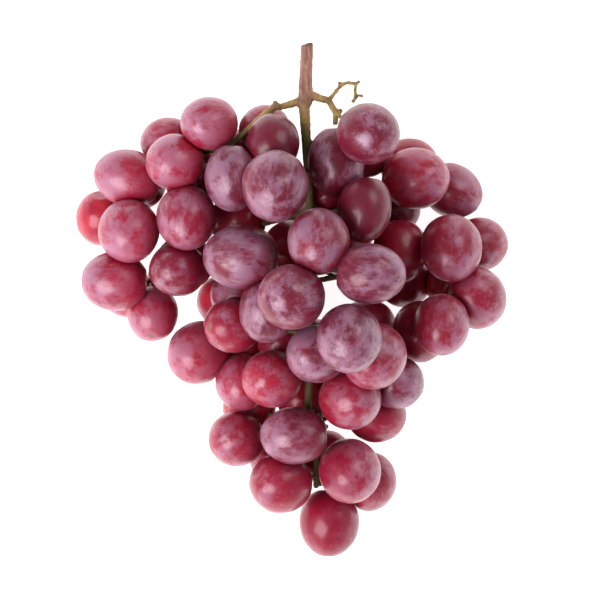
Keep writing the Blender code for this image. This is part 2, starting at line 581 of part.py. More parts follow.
    def lines(self):
        """The tree as lines of (point, radius), one a berry; at a fork the heaviest arm goes straight on."""
        made = []
        starts = [(k, child) for k in range(len(self.pos)) if self.up[k] < 0 for child in self.kids[k]]
        starts += [(k, None) for k in range(len(self.pos)) if self.up[k] < 0 for _ in self.ends[k]]
        while starts:
            k, child = starts.pop()
            line = [(self.pos[k], self.radius[k if child is None else child])]
            while child is not None:
                k = child
                line.append((self.pos[k], self.radius[k]))
                kids = sorted(self.kids[k], key=lambda c: -self.load[c])
                child = kids[0] if kids else None
                starts += [(k, other) for other in kids[1:]]
                starts += [(k, None) for _ in self.ends[k][0 if kids else 1:]]
            made.append(line + self.cup(*self.ends[k].pop()))
        return made

    def cup(self, berry, d, end):
        """The pedicel's last stretch, which widens to a small cup just off the berry's skin."""
        room = float(clearance(self.bunch, end[None, :], berry)[0]) - SLACK
        cup = max(PEDICEL, min(CUP, room))
        return [(end + d * CUP_LENGTH, PEDICEL), (end, cup)]


def thin_out(bunch, line):
    """Leaves out the points of a line that it can do without, as long as it stays clear of the berries."""
    keep = [line[0]]
    k = 0
    last = len(line) - 1
    while k < last:
        nxt = k + 1
        for far in range(min(last - 1, k + THINNING_SPAN), k + 1, -1):
            (a, wide), (b, narrow) = line[k], line[far]
            off = max(line_distance(line[m][0], a, b) for m in range(k + 1, far))
            steps = np.linspace(0, 1, 13)[1:-1, None]
            free = clearance(bunch, a + (b - a) * steps).min() > max(wide, narrow) + THINNING_ROOM
            if off < THINNING and abs(wide - narrow) < THINNING_CHANGE and free:
                nxt = far
                break
        keep.append(line[nxt])
        k = nxt
    return keep


def line_distance(p, a, b):
    t = min(1.0, max(0.0, float(((p - a) * (b - a)).sum() / max(1e-9, ((b - a) ** 2).sum()))))
    return float(np.sqrt(((p - a - t * (b - a)) ** 2).sum()))


def material(name, colour, roughness):
    made = bpy.data.materials.new(name)
    made.use_nodes = True
    shader = made.node_tree.nodes["Principled BSDF"]
    shader.inputs["Base Color"].default_value = (*colour, 1)
    shader.inputs["Roughness"].default_value = roughness
    shader.inputs["Metallic"].default_value = 0.0
    return made


def tube(collection, name, line, sides, tilt=0.0):
    """A closed tube through (point, radius) pairs; tilt slants its first end."""
    points = [Vector(p) * MM for p, _ in line]
    mesh = bmesh.new()
    side = None
    rings = []
    for k, (point, (_, radius)) in enumerate(zip(points, line)):
        before = (point - points[k - 1]).normalized() if k else (points[1] - point).normalized()
        after = (points[k + 1] - point).normalized() if k < len(points) - 1 else before
        along = (before + after).normalized()
        side = side or along.orthogonal()
        side = (side - along * side.dot(along)).normalized()
        other = along.cross(side)
        ring = []
        for s in range(sides):
            turn = 2 * math.pi * s / sides
            out = (side * math.cos(turn) + other * math.sin(turn)) * radius * MM
            slant = along * out.x * tilt if k == 0 else Vector((0, 0, 0))
            ring.append(mesh.verts.new(point + out + slant))
        rings.append(ring)
    for a, b in zip(rings, rings[1:]):
        for s in range(sides):
            mesh.faces.new((a[s], a[(s + 1) % sides], b[(s + 1) % sides], b[s]))
    mesh.faces.new(rings[0][::-1])
    mesh.faces.new(rings[-1])
    bmesh.ops.triangulate(mesh, faces=mesh.faces)
    return link(collection, name, mesh)


def berry(collection, name, centre, half, axis):
    """An ellipsoid with its poles at the stem and blossom ends, cut flat where the table presses it."""
    mesh = bmesh.new()
    bmesh.ops.create_uvsphere(mesh, u_segments=BERRY_SIDES, v_segments=BERRY_RINGS, radius=FACETED)
    turn = Vector((0, 0, 1)).rotation_difference(Vector(axis))
    for vert in mesh.verts:
        x, y, z = vert.co
        vert.co = turn @ Vector((x * half[0], y * half[0], z * half[1])) * MM + Vector(centre) * MM
    if min(vert.co.z for vert in mesh.verts) < 0:
        geometry = mesh.verts[:] + mesh.edges[:] + mesh.faces[:]
        bmesh.ops.bisect_plane(mesh, geom=geometry, plane_co=(0, 0, 0), plane_no=(0, 0, 1), clear_inner=True)
        bmesh.ops.holes_fill(mesh, edges=[edge for edge in mesh.edges if edge.is_boundary])
    bmesh.ops.triangulate(mesh, faces=mesh.faces)
    return link(collection, name, mesh)


def link(collection, name, mesh):
    bmesh.ops.recalc_face_normals(mesh, faces=mesh.faces)
    data = bpy.data.meshes.new(name)
    mesh.to_mesh(data)
    mesh.free()
    made = bpy.data.objects.new(name, data)
    collection.objects.link(made)
    return made


def drop_crumbs(mesh):
    """Takes away the loose slivers of a few vertices that a union can leave."""
    work = bmesh.new()
    work.from_mesh(mesh)
    left = dict.fromkeys(work.verts)
    crumbs = []
    while left:
        bit = [left.popitem()[0]]
        for v in bit:
            for edge in v.link_edges:
                other = edge.other_vert(v)
                if other in left:
                    left.pop(other)
                    bit.append(other)
        if len(bit) < CRUMB:
            crumbs += bit
    bmesh.ops.delete(work, geom=crumbs, context="VERTS")
    work.to_mesh(mesh)
    work.free()


def fuse(name, collection, look, solver):
    """One object from all those of a collection, by a Boolean union that is applied."""
    first = collection.objects[0]
    whole = bpy.data.objects.new(name, first.data.copy())
    bpy.context.scene.collection.objects.link(whole)
    bpy.data.objects.remove(first)
    union = whole.modifiers.new("union", "BOOLEAN")
    union.operation = "UNION"
    union.operand_type = "COLLECTION"
    union.collection = collection
    union.solver = solver
    evaluated = whole.evaluated_get(bpy.context.evaluated_depsgraph_get())
    fused = bpy.data.meshes.new_from_object(evaluated)
    drop_crumbs(fused)
    whole.modifiers.clear()
    whole.data = fused
    fused.name = name
    for part in list(collection.objects):
        bpy.data.objects.remove(part)
    bpy.data.collections.remove(collection)
    fused.materials.clear()
    fused.materials.append(look)
    fused.shade_smooth()
    return whole


def group(name):
    made = bpy.data.collections.new(name)
    bpy.context.scene.collection.children.link(made)
    return made


def build_berries(bunch):
    look = material("red grape skin", (0.36, 0.05, 0.10), 0.35)
    made = []
    for spray in sorted(set(bunch.sprays)):
        parts = group(spray)
        for k in range(bunch.n):
            if bunch.sprays[k] == spray:
                berry(parts, bunch.names[k], bunch.cen[k], bunch.half[k], bunch.axes[k])
        made.append(fuse("berries_" + spray, parts, look, "EXACT"))
    return made


def build_stem(bunch):
    look = material("grape stem", (0.32, 0.22, 0.10), 0.6)
    parts = group("stem parts")
    lines = (RACHIS, LEFT_ARM, RIGHT_ARM, BARE_TWIG, *STUBS)
    pairs = [[(np.array(p[:3]), p[3]) for p in line] for line in lines]
    tube(parts, "rachis", pairs[0], RACHIS_SIDES, CUT_SLANT)
    for k, line in enumerate(pairs[1:]):
        tube(parts, "arm %d" % k, line, ARM_SIDES)
    for k, line in enumerate(Routes(bunch).lines()):
        tube(parts, "pedicel %d" % k, thin_out(bunch, line), PEDICEL_SIDES)
    return fuse("stem", parts, look, "MANIFOLD")


def centre_on_origin(objects):
    """Moves the meshes so that the middle of their common box is over the origin."""
    corners = [Vector(v.co) for made in objects for v in made.data.vertices]
    low = [min(c[k] for c in corners) for k in range(3)]
    high = [max(c[k] for c in corners) for k in range(3)]
    shift = Vector((-(low[0] + high[0]) / 2, -(low[1] + high[1]) / 2, 0))
    for made in objects:
        for v in made.data.vertices:
            v.co += shift


def main():
    for old in list(bpy.data.objects):
        bpy.data.objects.remove(old)
    bunch = lay_out()
    objects = build_berries(bunch)
    objects.append(build_stem(bunch))
    centre_on_origin(objects)


main()
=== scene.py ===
"""A bunch of red table grapes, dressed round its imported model.

The berries are laid out by the same rule as the model's, from the same table, and get a round form, flats
where they press on each other, a waxy bloom and a scar at the blossom end. The stem is grown from the
model's own. Sizes and places in the tables are millimetres; every mesh is made in metres.
"""
import math
import random

import bmesh
import bpy
import numpy as np
from bpy.props import FloatProperty, FloatVectorProperty, IntProperty, PointerProperty
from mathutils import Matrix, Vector, noise


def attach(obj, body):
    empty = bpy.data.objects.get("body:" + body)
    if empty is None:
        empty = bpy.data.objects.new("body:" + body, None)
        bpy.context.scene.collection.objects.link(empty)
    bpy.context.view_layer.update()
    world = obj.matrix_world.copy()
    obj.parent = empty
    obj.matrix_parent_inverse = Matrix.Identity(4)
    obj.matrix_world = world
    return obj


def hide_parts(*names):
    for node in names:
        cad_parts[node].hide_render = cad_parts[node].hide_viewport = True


bl_info = {
    "name": "Bunch of grapes",
    "version": (1, 0, 0),
    "blender": (4, 5, 0),
    "location": "3D View > Sidebar > Grapes",
    "description": "Berries with a waxy bloom on a knotty stem, on a pale table",
    "category": "Object",
}

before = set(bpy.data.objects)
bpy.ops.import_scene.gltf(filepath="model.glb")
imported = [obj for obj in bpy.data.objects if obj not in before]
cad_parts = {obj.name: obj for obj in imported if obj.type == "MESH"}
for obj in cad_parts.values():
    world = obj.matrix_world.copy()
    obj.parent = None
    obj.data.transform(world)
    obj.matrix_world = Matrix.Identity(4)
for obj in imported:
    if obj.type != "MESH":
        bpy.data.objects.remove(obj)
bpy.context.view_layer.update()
MM = 0.001

# berries: name, spray, x, y, width across, width along, lean of the long axis in degrees; the rows are
# f in front, m behind them, k at the back, and the list runs from the back of the bunch to its front
BERRIES = [
    ("k1", "heart", -30.0, 0.8, 20.5, 20.5, 0), ("k2", "left_shoulder", -41.8, 10.6, 20.5, 20.5, 0),
    ("k3", "left_wing", -65.4, 2.3, 19.8, 20.5, 0), ("k4", "left_shoulder", -35.7, 52.8, 20.5, 22.0, 0),
    ("k5", "crown", -18.2, 57.0, 19.8, 21.3, 0), ("k6", "crown", -27.0, 29.6, 20.5, 22.0, 0),
    ("k7", "lower_left", -31.9, -23.6, 20.5, 20.5, 0), ("k8", "lower_left", -19.0, -42.6, 20.5, 20.5, 0),
    ("k9", "tip", -11.8, -58.9, 19.8, 20.5, 0), ("k10", "tip", 13.7, -61.9, 20.9, 21.7, 0),
    ("k12", "lower_right", 25.8, -3.0, 19.8, 22.0, 0),
    ("k13", "right_shoulder", 39.5, 29.6, 19.8, 21.3, 0),
    ("k14", "right_wing", 44.1, 3.8, 20.5, 21.3, 0), ("k15", "right_shoulder", 11.0, 36.1, 20.5, 21.3, 0),
    ("k16", "right_wing", 53.2, 3.8, 20.5, 21.3, 0), ("k17", "right_shoulder", 19.8, 57.0, 20.5, 21.3, 0),
    ("m1", "crown", -13.7, 65.0, 19.0, 19.8, 0), ("m2", "left_shoulder", -50.9, 60.4, 19.0, 21.3, 0),
    ("m3", "left_wing", -76.4, 31.5, 19.4, 21.3, 90), ("m4", "heart", -23.9, 1.5, 20.5, 21.3, 0),
    ("m5", "right_shoulder", 59.3, 41.4, 20.5, 23.6, -30), ("m6", "right_wing", 69.5, 22.0, 20.5, 21.3, 0),
    ("m7", "right_wing", 38.4, 19.8, 20.5, 25.0, 90), ("m8", "right_wing", 46.0, -12.2, 21.3, 23.6, 90),
    ("m9", "right_wing", 67.6, 0.4, 22.8, 24.3, -60), ("m12", "tip", 28.5, -67.3, 21.3, 23.2, 90),
    ("m11", "lower_right", 29.3, -45.6, 20.5, 22.8, 0), ("m10", "lower_right", 38.4, -30.4, 20.5, 21.3, 0),
    ("f4", "left_wing", -55.5, -6.1, 19.8, 21.3, 90), ("f3", "left_wing", -70.7, 7.6, 22.8, 25.8, 0),
    ("f1", "left_wing", -65.7, 46.7, 22.0, 26.6, -17), ("f2", "left_wing", -65.0, 25.8, 23.6, 24.3, 90),
    ("f5", "left_shoulder", -49.0, 52.4, 21.7, 22.4, 0),
    ("f6", "left_shoulder", -33.4, 68.0, 20.5, 22.0, 0),
    ("f11", "right_shoulder", 13.3, 53.2, 21.7, 27.4, 90),
    ("f13", "right_shoulder", 25.8, 62.7, 23.2, 23.9, 0),
    ("f10", "crown", -9.1, 60.8, 20.1, 22.4, 90), ("f9", "crown", -26.6, 45.2, 20.9, 25.8, 90),
    ("f7", "left_shoulder", -46.7, 11.4, 20.5, 22.0, 0),
    ("f8", "left_shoulder", -42.9, 30.0, 22.8, 25.1, 90),
    ("f17", "right_shoulder", 23.9, 34.6, 20.5, 25.8, 80),
    ("f14", "right_shoulder", 44.1, 46.4, 23.6, 26.2, 0),
    ("f15", "right_wing", 57.4, 19.8, 23.6, 25.8, 90), ("f16", "right_wing", 54.0, -9.5, 21.3, 23.6, 90),
    ("f19", "heart", -22.4, 16.7, 24.7, 29.3, 0), ("f12", "crown", -8.0, 40.3, 25.1, 27.4, 90),
    ("f20", "heart", 5.3, 25.1, 23.6, 25.5, 90), ("f24", "heart", 26.6, 9.1, 22.8, 27.0, 0),
    ("f22", "lower_left", -38.8, -19.8, 23.6, 25.1, 45),
    ("f30", "lower_left", -24.3, -52.8, 21.3, 21.7, 0),
    ("f27", "lower_left", -22.8, -31.2, 20.5, 22.0, 90), ("f21", "heart", -25.5, -9.5, 20.5, 22.0, 0),
    ("f32", "tip", -7.6, -70.7, 23.2, 24.3, 0), ("f33", "tip", -1.5, -50.2, 22.0, 26.2, 0),
    ("f28", "lower_left", -10.6, -30.0, 22.0, 22.8, 0), ("f18", "heart", -12.5, -4.6, 21.3, 24.3, 90),
    ("f31", "lower_right", 18.2, -38.4, 23.2, 23.9, 0), ("f25", "lower_right", 2.7, -20.5, 22.0, 22.8, 0),
    ("f23", "heart", -3.8, 0.4, 24.7, 25.5, 0), ("f26", "lower_right", 31.2, -21.3, 24.3, 25.5, 60),
    ("f29", "lower_right", 18.6, -14.1, 24.7, 26.2, 90), ("f35", "tip", 9.9, -86.6, 23.2, 26.6, 90),
    ("f34", "tip", 19.0, -65.4, 23.9, 24.7, 90),
]
# the bunch's depth, left side and right side at each y
OUTLINE = [
    (-100, 26, 2, 18), (-90, 28, -4, 23), (-70, 38, -20, 40), (-50, 50, -35, 42), (-30, 60, -52, 52),
    (-15, 66, -66, 70), (0, 70, -82, 80), (25, 72, -86, 79), (45, 68, -77, 68), (60, 60, -65, 45),
    (75, 44, -45, 37),
]
# stem lines: x, y, z, radius
RACHIS = [
    (2.7, 97.3, 47, 2.4), (2.1, 82, 46, 2.5), (2.3, 77, 46, 3.1), (1.6, 73, 46, 2.2), (2.3, 62, 45, 1.9),
    (3.4, 45, 44, 1.8), (4.2, 26, 43, 1.75), (4.6, 7, 42, 1.7), (4.2, -12, 40, 1.65), (3.4, -32, 36, 1.6),
    (3.0, -39, 34, 1.5), (4.2, -49, 29, 1.4), (6.1, -61, 24, 1.3), (6.1, -72, 20, 1.1),
]
LEFT_ARM = [
    (1.8, 76, 46, 1.8), (-7.2, 73.3, 47, 1.3), (-9.1, 73.6, 47.5, 1.7), (-14.4, 70, 47, 1.2),
    (-18.6, 66, 45.5, 1.2), (-22.8, 62, 44, 1.1), (-27, 58.5, 42, 1.0),
]
RIGHT_ARM = [(3.6, 78, 46, 1.9), (11, 75.6, 47, 1.4), (13.7, 71, 47.5, 1.3), (13.3, 66.5, 47, 1.1)]
BARE_TWIG = [
    (11, 75.9, 47, 0.9), (15.2, 81.1, 49, 0.8), (17.7, 82.5, 51, 0.8), (21.1, 82, 53, 0.85),
    (20.9, 79.4, 55, 0.75), (21.1, 76.6, 57, 0.8), (19.8, 74.8, 58, 0.9),
]
STUBS = [
    [(15.2, 81.1, 49, 0.7), (15.0, 82.8, 49.8, 0.8)],
    [(21.1, 82, 53, 0.7), (22.7, 82.9, 53.4, 0.8)],
    [(20.95, 77.6, 56.4, 0.6), (22.6, 77.4, 56.8, 0.6), (23.8, 77.2, 57, 1.0)],
    [(-9.1, 73.6, 47.5, 0.9), (-9.6, 75.6, 48.2, 1.0)],
    [(13.7, 71, 47.5, 0.9), (15.9, 72.1, 49, 1.0)],
]
# places that stay open from front to back: x, y, radius
GAPS = [
    (-44.5, 0.0, 3.6), (26.2, 48.3, 1.6), (39.1, 2.3, 1.8), (35.3, -8.7, 1.0), (16.2, -50.5, 2.2),
    (13, -48, 1.0),
]

# the berries
BACK = {"f": 0.0, "m": 12.0, "k": 60.0}      # how much deeper each row starts than the bunch's front
BERRY_STRETCH = 1.13                         # a berry is at least this much longer than wide
MIDDLE = (4.0, 40.0)                         # x and z of the rachis where the bunch is widest
DOWN_AND_OUT = (0.6, 14.0)                   # blossom ends point away from the rachis and toward the tip
PRESSED = 0.8                                # how far a berry is flattened by the table

# berries out of sight (row h)
UNSEEN_TRIES = 9000
UNSEEN_WIDTH = (20.0, 22.8)
UNSEEN_STRETCH = (1.06, 1.16)
UNSEEN_FROM, UNSEEN_TO = (10, -85, -100), (80, 80, 75)     # z, x, y
UNSEEN_LEAN, UNSEEN_DOWN = 8, (0.3, 8)       # how their long axes scatter, and lean toward the tip
UNSEEN_UNDER = 3.0                           # the berries that hide one lie at least this much higher

# smaller berries that fill the crevices at last
CREVICE_TRIES, CREVICE_SEED = 60000, 5
CREVICE_BOX = ((-80.0, -95.0, 9.0), (78.0, 72.0, 75.0))
CREVICE_WIDTH = (18.2, 22.0)
CREVICE_STRETCH = 1.05
CREVICE_SUNK = (1.5, 2.3)                    # how deep one sinks into its own spray
CREVICE_APART, CREVICE_STEM = 0.7, 0.8       # from the other sprays and from the stem
CREVICE_REACH = 8.0                          # berries over it stand round it when this near
SURROUNDED = 2.6                             # the widest open angle between them, in radians
CREVICE_DEEP = 4.0                           # below the berries that surround it
SQUEEZED = 0.86                              # how much one may squeeze in at first
SEED = 7

# how the berries settle; c and h are the rows out of sight, k, m and f those of the list
SIDEWAYS = {"c": 1.0, "h": 1.0, "k": 0.4, "m": 0.12, "f": 0.08}    # how easily a push moves one sideways
HELD = {"c": 0.0, "h": 0.008, "k": 0.012, "m": 0.04, "f": 0.05}    # how strongly it returns to its place
NEIGHBOURS = 50.0                            # berries farther apart than this never meet
STACKED = 0.96                               # two nearer than this share of touching are stacked
LEAST_STEP = 0.30                            # of the height between two stacked berries that touch
STEP_SHARE, PUSH_SHARE, LONGEST_MOVE = 0.25, 0.5, 2.5
START_GAP = 0.3                              # between neighbours before the sprays are joined
JOINED = 2.0                                 # how deep neighbours of one spray sink into each other
LOOSE = 0.25                                 # between others of one spray
APART = 1.3                                  # between two sprays
LANDING = 3.6                                # a berry this close over the table comes down onto it
STEM_ROOM = 0.5
PAST_STEM = 3.0                              # the front row lies above the stem by this, the back row below
# rounds, pull back to the starting height, fall and landing of each stage
SEEN_STAGES = [(250, 0.02, 0.03, 0.0), (150, 0.002, 0.03, 0.0)]
UNSEEN_STAGES = [(400, 0.001, 0.03, 0.0)]
JOINED_STAGES = [(900, 0.001, 0.04, 0.3), (700, 0.0, 0.04, 0.3), (600, 0.0, 0.01, 0.2)]
JOIN_EVERY, JOIN_UNTIL = 150, 1000

# the stage
OFF_MIDDLE = (-3.0402, -0.4407)               # the middle of the bunch's box, which lies over the origin
TABLE_SIZE = 40.0                             # metres
FLOOR_GLOW = 0.90                             # evens out the table to white
AMBIENT = (0.66, 0.15)                        # the world's light at the horizon and overhead
VIEW_LEVEL = 0.045                            # height in metres at which the picture has its width
LIT_LEVEL = 0.04                              # height in metres that the lamps point at
SENSOR = 36.0
NEAR_CLIP, FAR_CLIP = 0.05, 60.0
# name, place, width, power
LIGHTS = [
    ("softbox", (-0.62, -0.46, 0.92), 1.00, 17.0),
    ("back fill", (0.8, 0.7, 1.0), 0.9, 5.5),
]


def unit(v):
    return v / max(1e-9, float(np.sqrt((v * v).sum())))


def skin(inverse, u):
    """Distance from an ellipsoid's centre to its skin along each unit direction."""
    return 1 / np.sqrt(np.maximum(1e-9, np.einsum("ni,ij,nj->n", u, inverse, u)))


def outline(y):
    ys = [row[0] for row in OUTLINE]
    return [float(np.interp(y, ys, [row[k] for row in OUTLINE])) for k in (1, 2, 3)]


class Bunch:
    """Berries as ellipsoids: centre, half sizes (across, along), direction from stem end to blossom end."""

    def __init__(self):
        self.names = []
        self.sprays = []
        self.order = []
        self.cen = np.zeros((0, 3))
        self.half = np.zeros((0, 2))
        self.axes = np.zeros((0, 3))

    def add(self, name, spray, order, centre, half, axis):
        self.names.append(name)
        self.sprays.append(spray)
        self.order.append(order)
        self.cen = np.vstack([self.cen, centre])
        self.half = np.vstack([self.half, half])
        self.axes = np.vstack([self.axes, axis])

    def prepare(self):
        self.n = len(self.names)
        across, along = self.half[:, 0] ** 2, self.half[:, 1] ** 2
        outer = self.axes[:, :, None] * self.axes[:, None, :]
        self.shape = across[:, None, None] * np.eye(3)[None] + (along - across)[:, None, None] * outer
        i, j = np.triu_indices(self.n, 1)
        near = np.hypot(self.cen[i, 0] - self.cen[j, 0], self.cen[i, 1] - self.cen[j, 1]) < NEIGHBOURS
        self.i, self.j = i[near], j[near]
        self.row = np.array([name[0] for name in self.names])
        side = np.array([SIDEWAYS[row] for row in self.row])
        self.ease = np.stack([side, side, np.ones(self.n)], axis=1)
        self.hold = np.array([HELD[row] for row in self.row])
        self.home = self.cen.copy()
        self.rank = np.array(self.order)
        self.tie = np.zeros(len(self.i), bool)
        self.gap = np.full(len(self.i), START_GAP)

    def reach(self, which, u):
        """How far each ellipsoid reaches along the unit direction u."""
        return np.sqrt(np.einsum("ni,nij,nj->n", u, self.shape[which], u))

    def space(self):
        d = self.cen[self.j] - self.cen[self.i]
        length = np.sqrt((d ** 2).sum(1))
        u = d / length[:, None]
        return length - self.reach(self.i, u) - self.reach(self.j, u)

    def settle(self, stages, joining=False):
        done = 0
        for rounds, back, fall, landing in stages:
            for _ in range(rounds):
                if joining and done % JOIN_EVERY == 0 and done < JOIN_UNTIL:
                    self.join()
                self.step(back, fall, landing)
                done += 1

    def step(self, back, fall, landing):
        i, j, cen, ease = self.i, self.j, self.cen, self.ease
        d = cen[j] - cen[i]
        flat = np.hypot(d[:, 0], d[:, 1])
        u = d.copy()
        u[:, 2] = 0
        u /= np.maximum(flat, 1e-6)[:, None]
        wide = self.reach(i, u) + self.reach(j, u)
        # of two that overlap as seen from above, the one later in the list lies higher
        sign = np.sign(self.rank[j] - self.rank[i]) * (flat < wide * STACKED)
        least = sign * LEAST_STEP * np.sqrt(np.maximum(0, wide ** 2 - flat ** 2))
        wrong = (sign != 0) & ((d[:, 2] - least) * sign < 0)
        short = np.where(wrong, least - d[:, 2], 0)
        d[:, 2] += short
        length = np.sqrt((d ** 2).sum(1))
        u = d / np.maximum(length, 1e-6)[:, None]
        lack = self.reach(i, u) + self.reach(j, u) + self.gap - length
        lack = np.where(self.tie, lack, np.maximum(0, lack))
        push = lack / ((ease[i] + ease[j]) * u * u).sum(1) * PUSH_SHARE
        move = np.zeros_like(cen)
        np.add.at(move, j, ease[j] * u * push[:, None])
        np.add.at(move, i, -ease[i] * u * push[:, None])
        np.add.at(move[:, 2], j, short * STEP_SHARE)
        np.add.at(move[:, 2], i, -short * STEP_SHARE)
        for line in (RACHIS, LEFT_ARM, RIGHT_ARM):
            for p, q in zip(line, line[1:]):
                move += self.leave_stem(np.array(p), np.array(q))
        cen = cen + np.clip(move, -LONGEST_MOVE, LONGEST_MOVE)
        cen[:, :2] += (self.home[:, :2] - cen[:, :2]) * self.hold[:, None]
        lowest = np.sqrt(self.shape[:, 2, 2]) - PRESSED
        close = cen[:, 2] - lowest < LANDING
        cen[:, 2] += (self.home[:, 2] - cen[:, 2]) * back - fall - close * landing
        cen[:, 2] = np.maximum(cen[:, 2], lowest)
        self.cen = cen

    def leave_stem(self, p, q):
        """The push that keeps each berry off the stem between p and q."""
        radius = (p[3] + q[3]) / 2
        along = q[:3] - p[:3]
        t = np.clip(((self.cen - p[:3]) * along).sum(1) / (along ** 2).sum(), 0, 1)
        v = self.cen - (p[:3] + t[:, None] * along)
        v[:, 2] = np.where((self.row == "f") & (v[:, 2] < PAST_STEM), PAST_STEM, v[:, 2])
        v[:, 2] = np.where((self.row == "k") & (v[:, 2] > -PAST_STEM), -PAST_STEM, v[:, 2])
        length = np.sqrt((v ** 2).sum(1))
        u = v / length[:, None]
        short = np.maximum(0, self.reach(np.arange(self.n), u) + radius + STEM_ROOM - length)
        return self.ease * u * (short / (self.ease * u * u).sum(1))[:, None] * PUSH_SHARE

    def join(self):
        """In each spray the shortest chain of neighbours is pulled together; sprays are kept apart."""
        space, root = self.space(), list(range(self.n))

        def find(k):
            while root[k] != k:
                k = root[k]
            return k
        self.same = np.array([self.sprays[i] == self.sprays[j] for i, j in zip(self.i, self.j)])
        self.tie = np.zeros(len(self.i), bool)
        for k in np.argsort(space, kind="stable"):
            a, b = find(self.i[k]), find(self.j[k])
            if self.same[k] and a != b:
                root[a] = b
                self.tie[k] = True
        self.gap = np.where(self.tie, -JOINED, np.where(self.same, LOOSE, APART))


def add_seen(bunch):
    """The berries of the list, each started at the depth of its row."""
    for k, (name, spray, x, y, across, along, lean) in enumerate(BERRIES):
        half_width, shown = across / 2, along / 2
        half_length = half_width * max(BERRY_STRETCH, along / across)
        thick, left, right = outline(y)
        middle, half_span = (left + right) / 2, (right - left) / 2
        top = thick * (0.5 + 0.5 * math.sqrt(max(0.0, 1 - ((x - middle) / half_span) ** 2)))
        z = max(half_width - PRESSED, top - half_width - BACK[name[0]])
        # what doesn't show of the long axis goes up in the front row, and down behind it
        part = (shown ** 2 - half_width ** 2) / (half_length ** 2 - half_width ** 2)
        part = min(1.0, max(0.0, part))
        d = np.array([math.cos(math.radians(lean)), math.sin(math.radians(lean)), 0.0])
        if d[0] * (x - MIDDLE[0]) * DOWN_AND_OUT[0] - d[1] * DOWN_AND_OUT[1] < 0:
            d = -d
        rise = 1 if name[0] == "f" else -1
        axis = unit(d * math.sqrt(part) + np.array([0, 0, rise * math.sqrt(1 - part)]))
        bunch.add(name, spray, k, (x, y, z), (half_width, half_length), axis)


def add_unseen(bunch, rng):
    """Berries out of sight, from the table up, wherever one fits under those above it."""
    seen, reach = bunch.cen.copy(), bunch.half[:, 0].copy()
    limits = list(zip(UNSEEN_FROM, UNSEEN_TO))
    for z, x, y in sorted(tuple(rng.uniform(*pair) for pair in limits) for _ in range(UNSEEN_TRIES)):
        b = rng.uniform(*UNSEEN_WIDTH) / 2
        a = b * rng.uniform(*UNSEEN_STRETCH)
        if any(math.hypot(x - gx, y - gy) < b + gr for gx, gy, gr in GAPS):
            continue
        if (np.sqrt(((bunch.cen - (x, y, z)) ** 2).sum(1)) < (bunch.half[:, 0] + b) * SQUEEZED).any():
            continue
        if min(math.dist((x, y, z), point[:3]) for point in RACHIS) < b + 1:
            continue
        over = seen[:, 2] > z + UNSEEN_UNDER
        turns = [k * math.pi / 8 for k in range(16)]
        ring = [(x + b * math.cos(t), y + b * math.sin(t)) for t in turns] + [(x, y)]
        if any((np.hypot(seen[over, 0] - px, seen[over, 1] - py) > reach[over]).all() for px, py in ring):
            continue
        lean = np.array([rng.uniform(-UNSEEN_LEAN, UNSEEN_LEAN) for _ in range(3)])
        axis = unit(np.array([x - MIDDLE[0], y * UNSEEN_DOWN[0] - UNSEEN_DOWN[1], z - MIDDLE[1]]) + lean)
        bunch.add("h%d" % len(bunch.names), None, -1, (x, y, z), (b, a), axis)


def surrounded(x, y, over, reach):
    """Whether a point lies under the berries over it, or in a crevice between them."""
    dx, dy = over[:, 0] - x, over[:, 1] - y
    away = np.hypot(dx, dy) - reach
    if (away < 0).any():
        return True
    turns = np.sort(np.arctan2(dy, dx)[away < CREVICE_REACH])
    if len(turns) < 3:
        return False
    return float(np.diff(np.append(turns, turns[0] + 2 * math.pi)).max()) < SURROUNDED


def inside(bunch, centre, half):
    """Whether a berry of this half width shows nowhere but in crevices, and leaves the open places open."""
    x, y, z = centre
    if any(math.hypot(x - gx, y - gy) < half + gr for gx, gy, gr in GAPS):
        return False
    over = np.where(bunch.cen[:len(BERRIES), 2] > z + CREVICE_DEEP)[0]
    turns = [k * math.pi / 6 for k in range(12)] if half else [0.0]
    ring = [(x + half * math.cos(t), y + half * math.sin(t)) for t in turns]
    return all(surrounded(*point, bunch.cen[over], bunch.half[over, 0]) for point in ring)


def stem_distance(points):
    best = np.full(len(points), 1e3)
    for line in (RACHIS, LEFT_ARM, RIGHT_ARM):
        for p, q in zip(line, line[1:]):
            start, along = np.array(p[:3]), np.array(q[:3]) - np.array(p[:3])
            t = np.clip(((points - start) @ along) / (along ** 2).sum(), 0, 1)
            off = np.sqrt(((points - start - t[:, None] * along) ** 2).sum(1))
            best = np.minimum(best, off - (p[3] + q[3]) / 2)
    return best


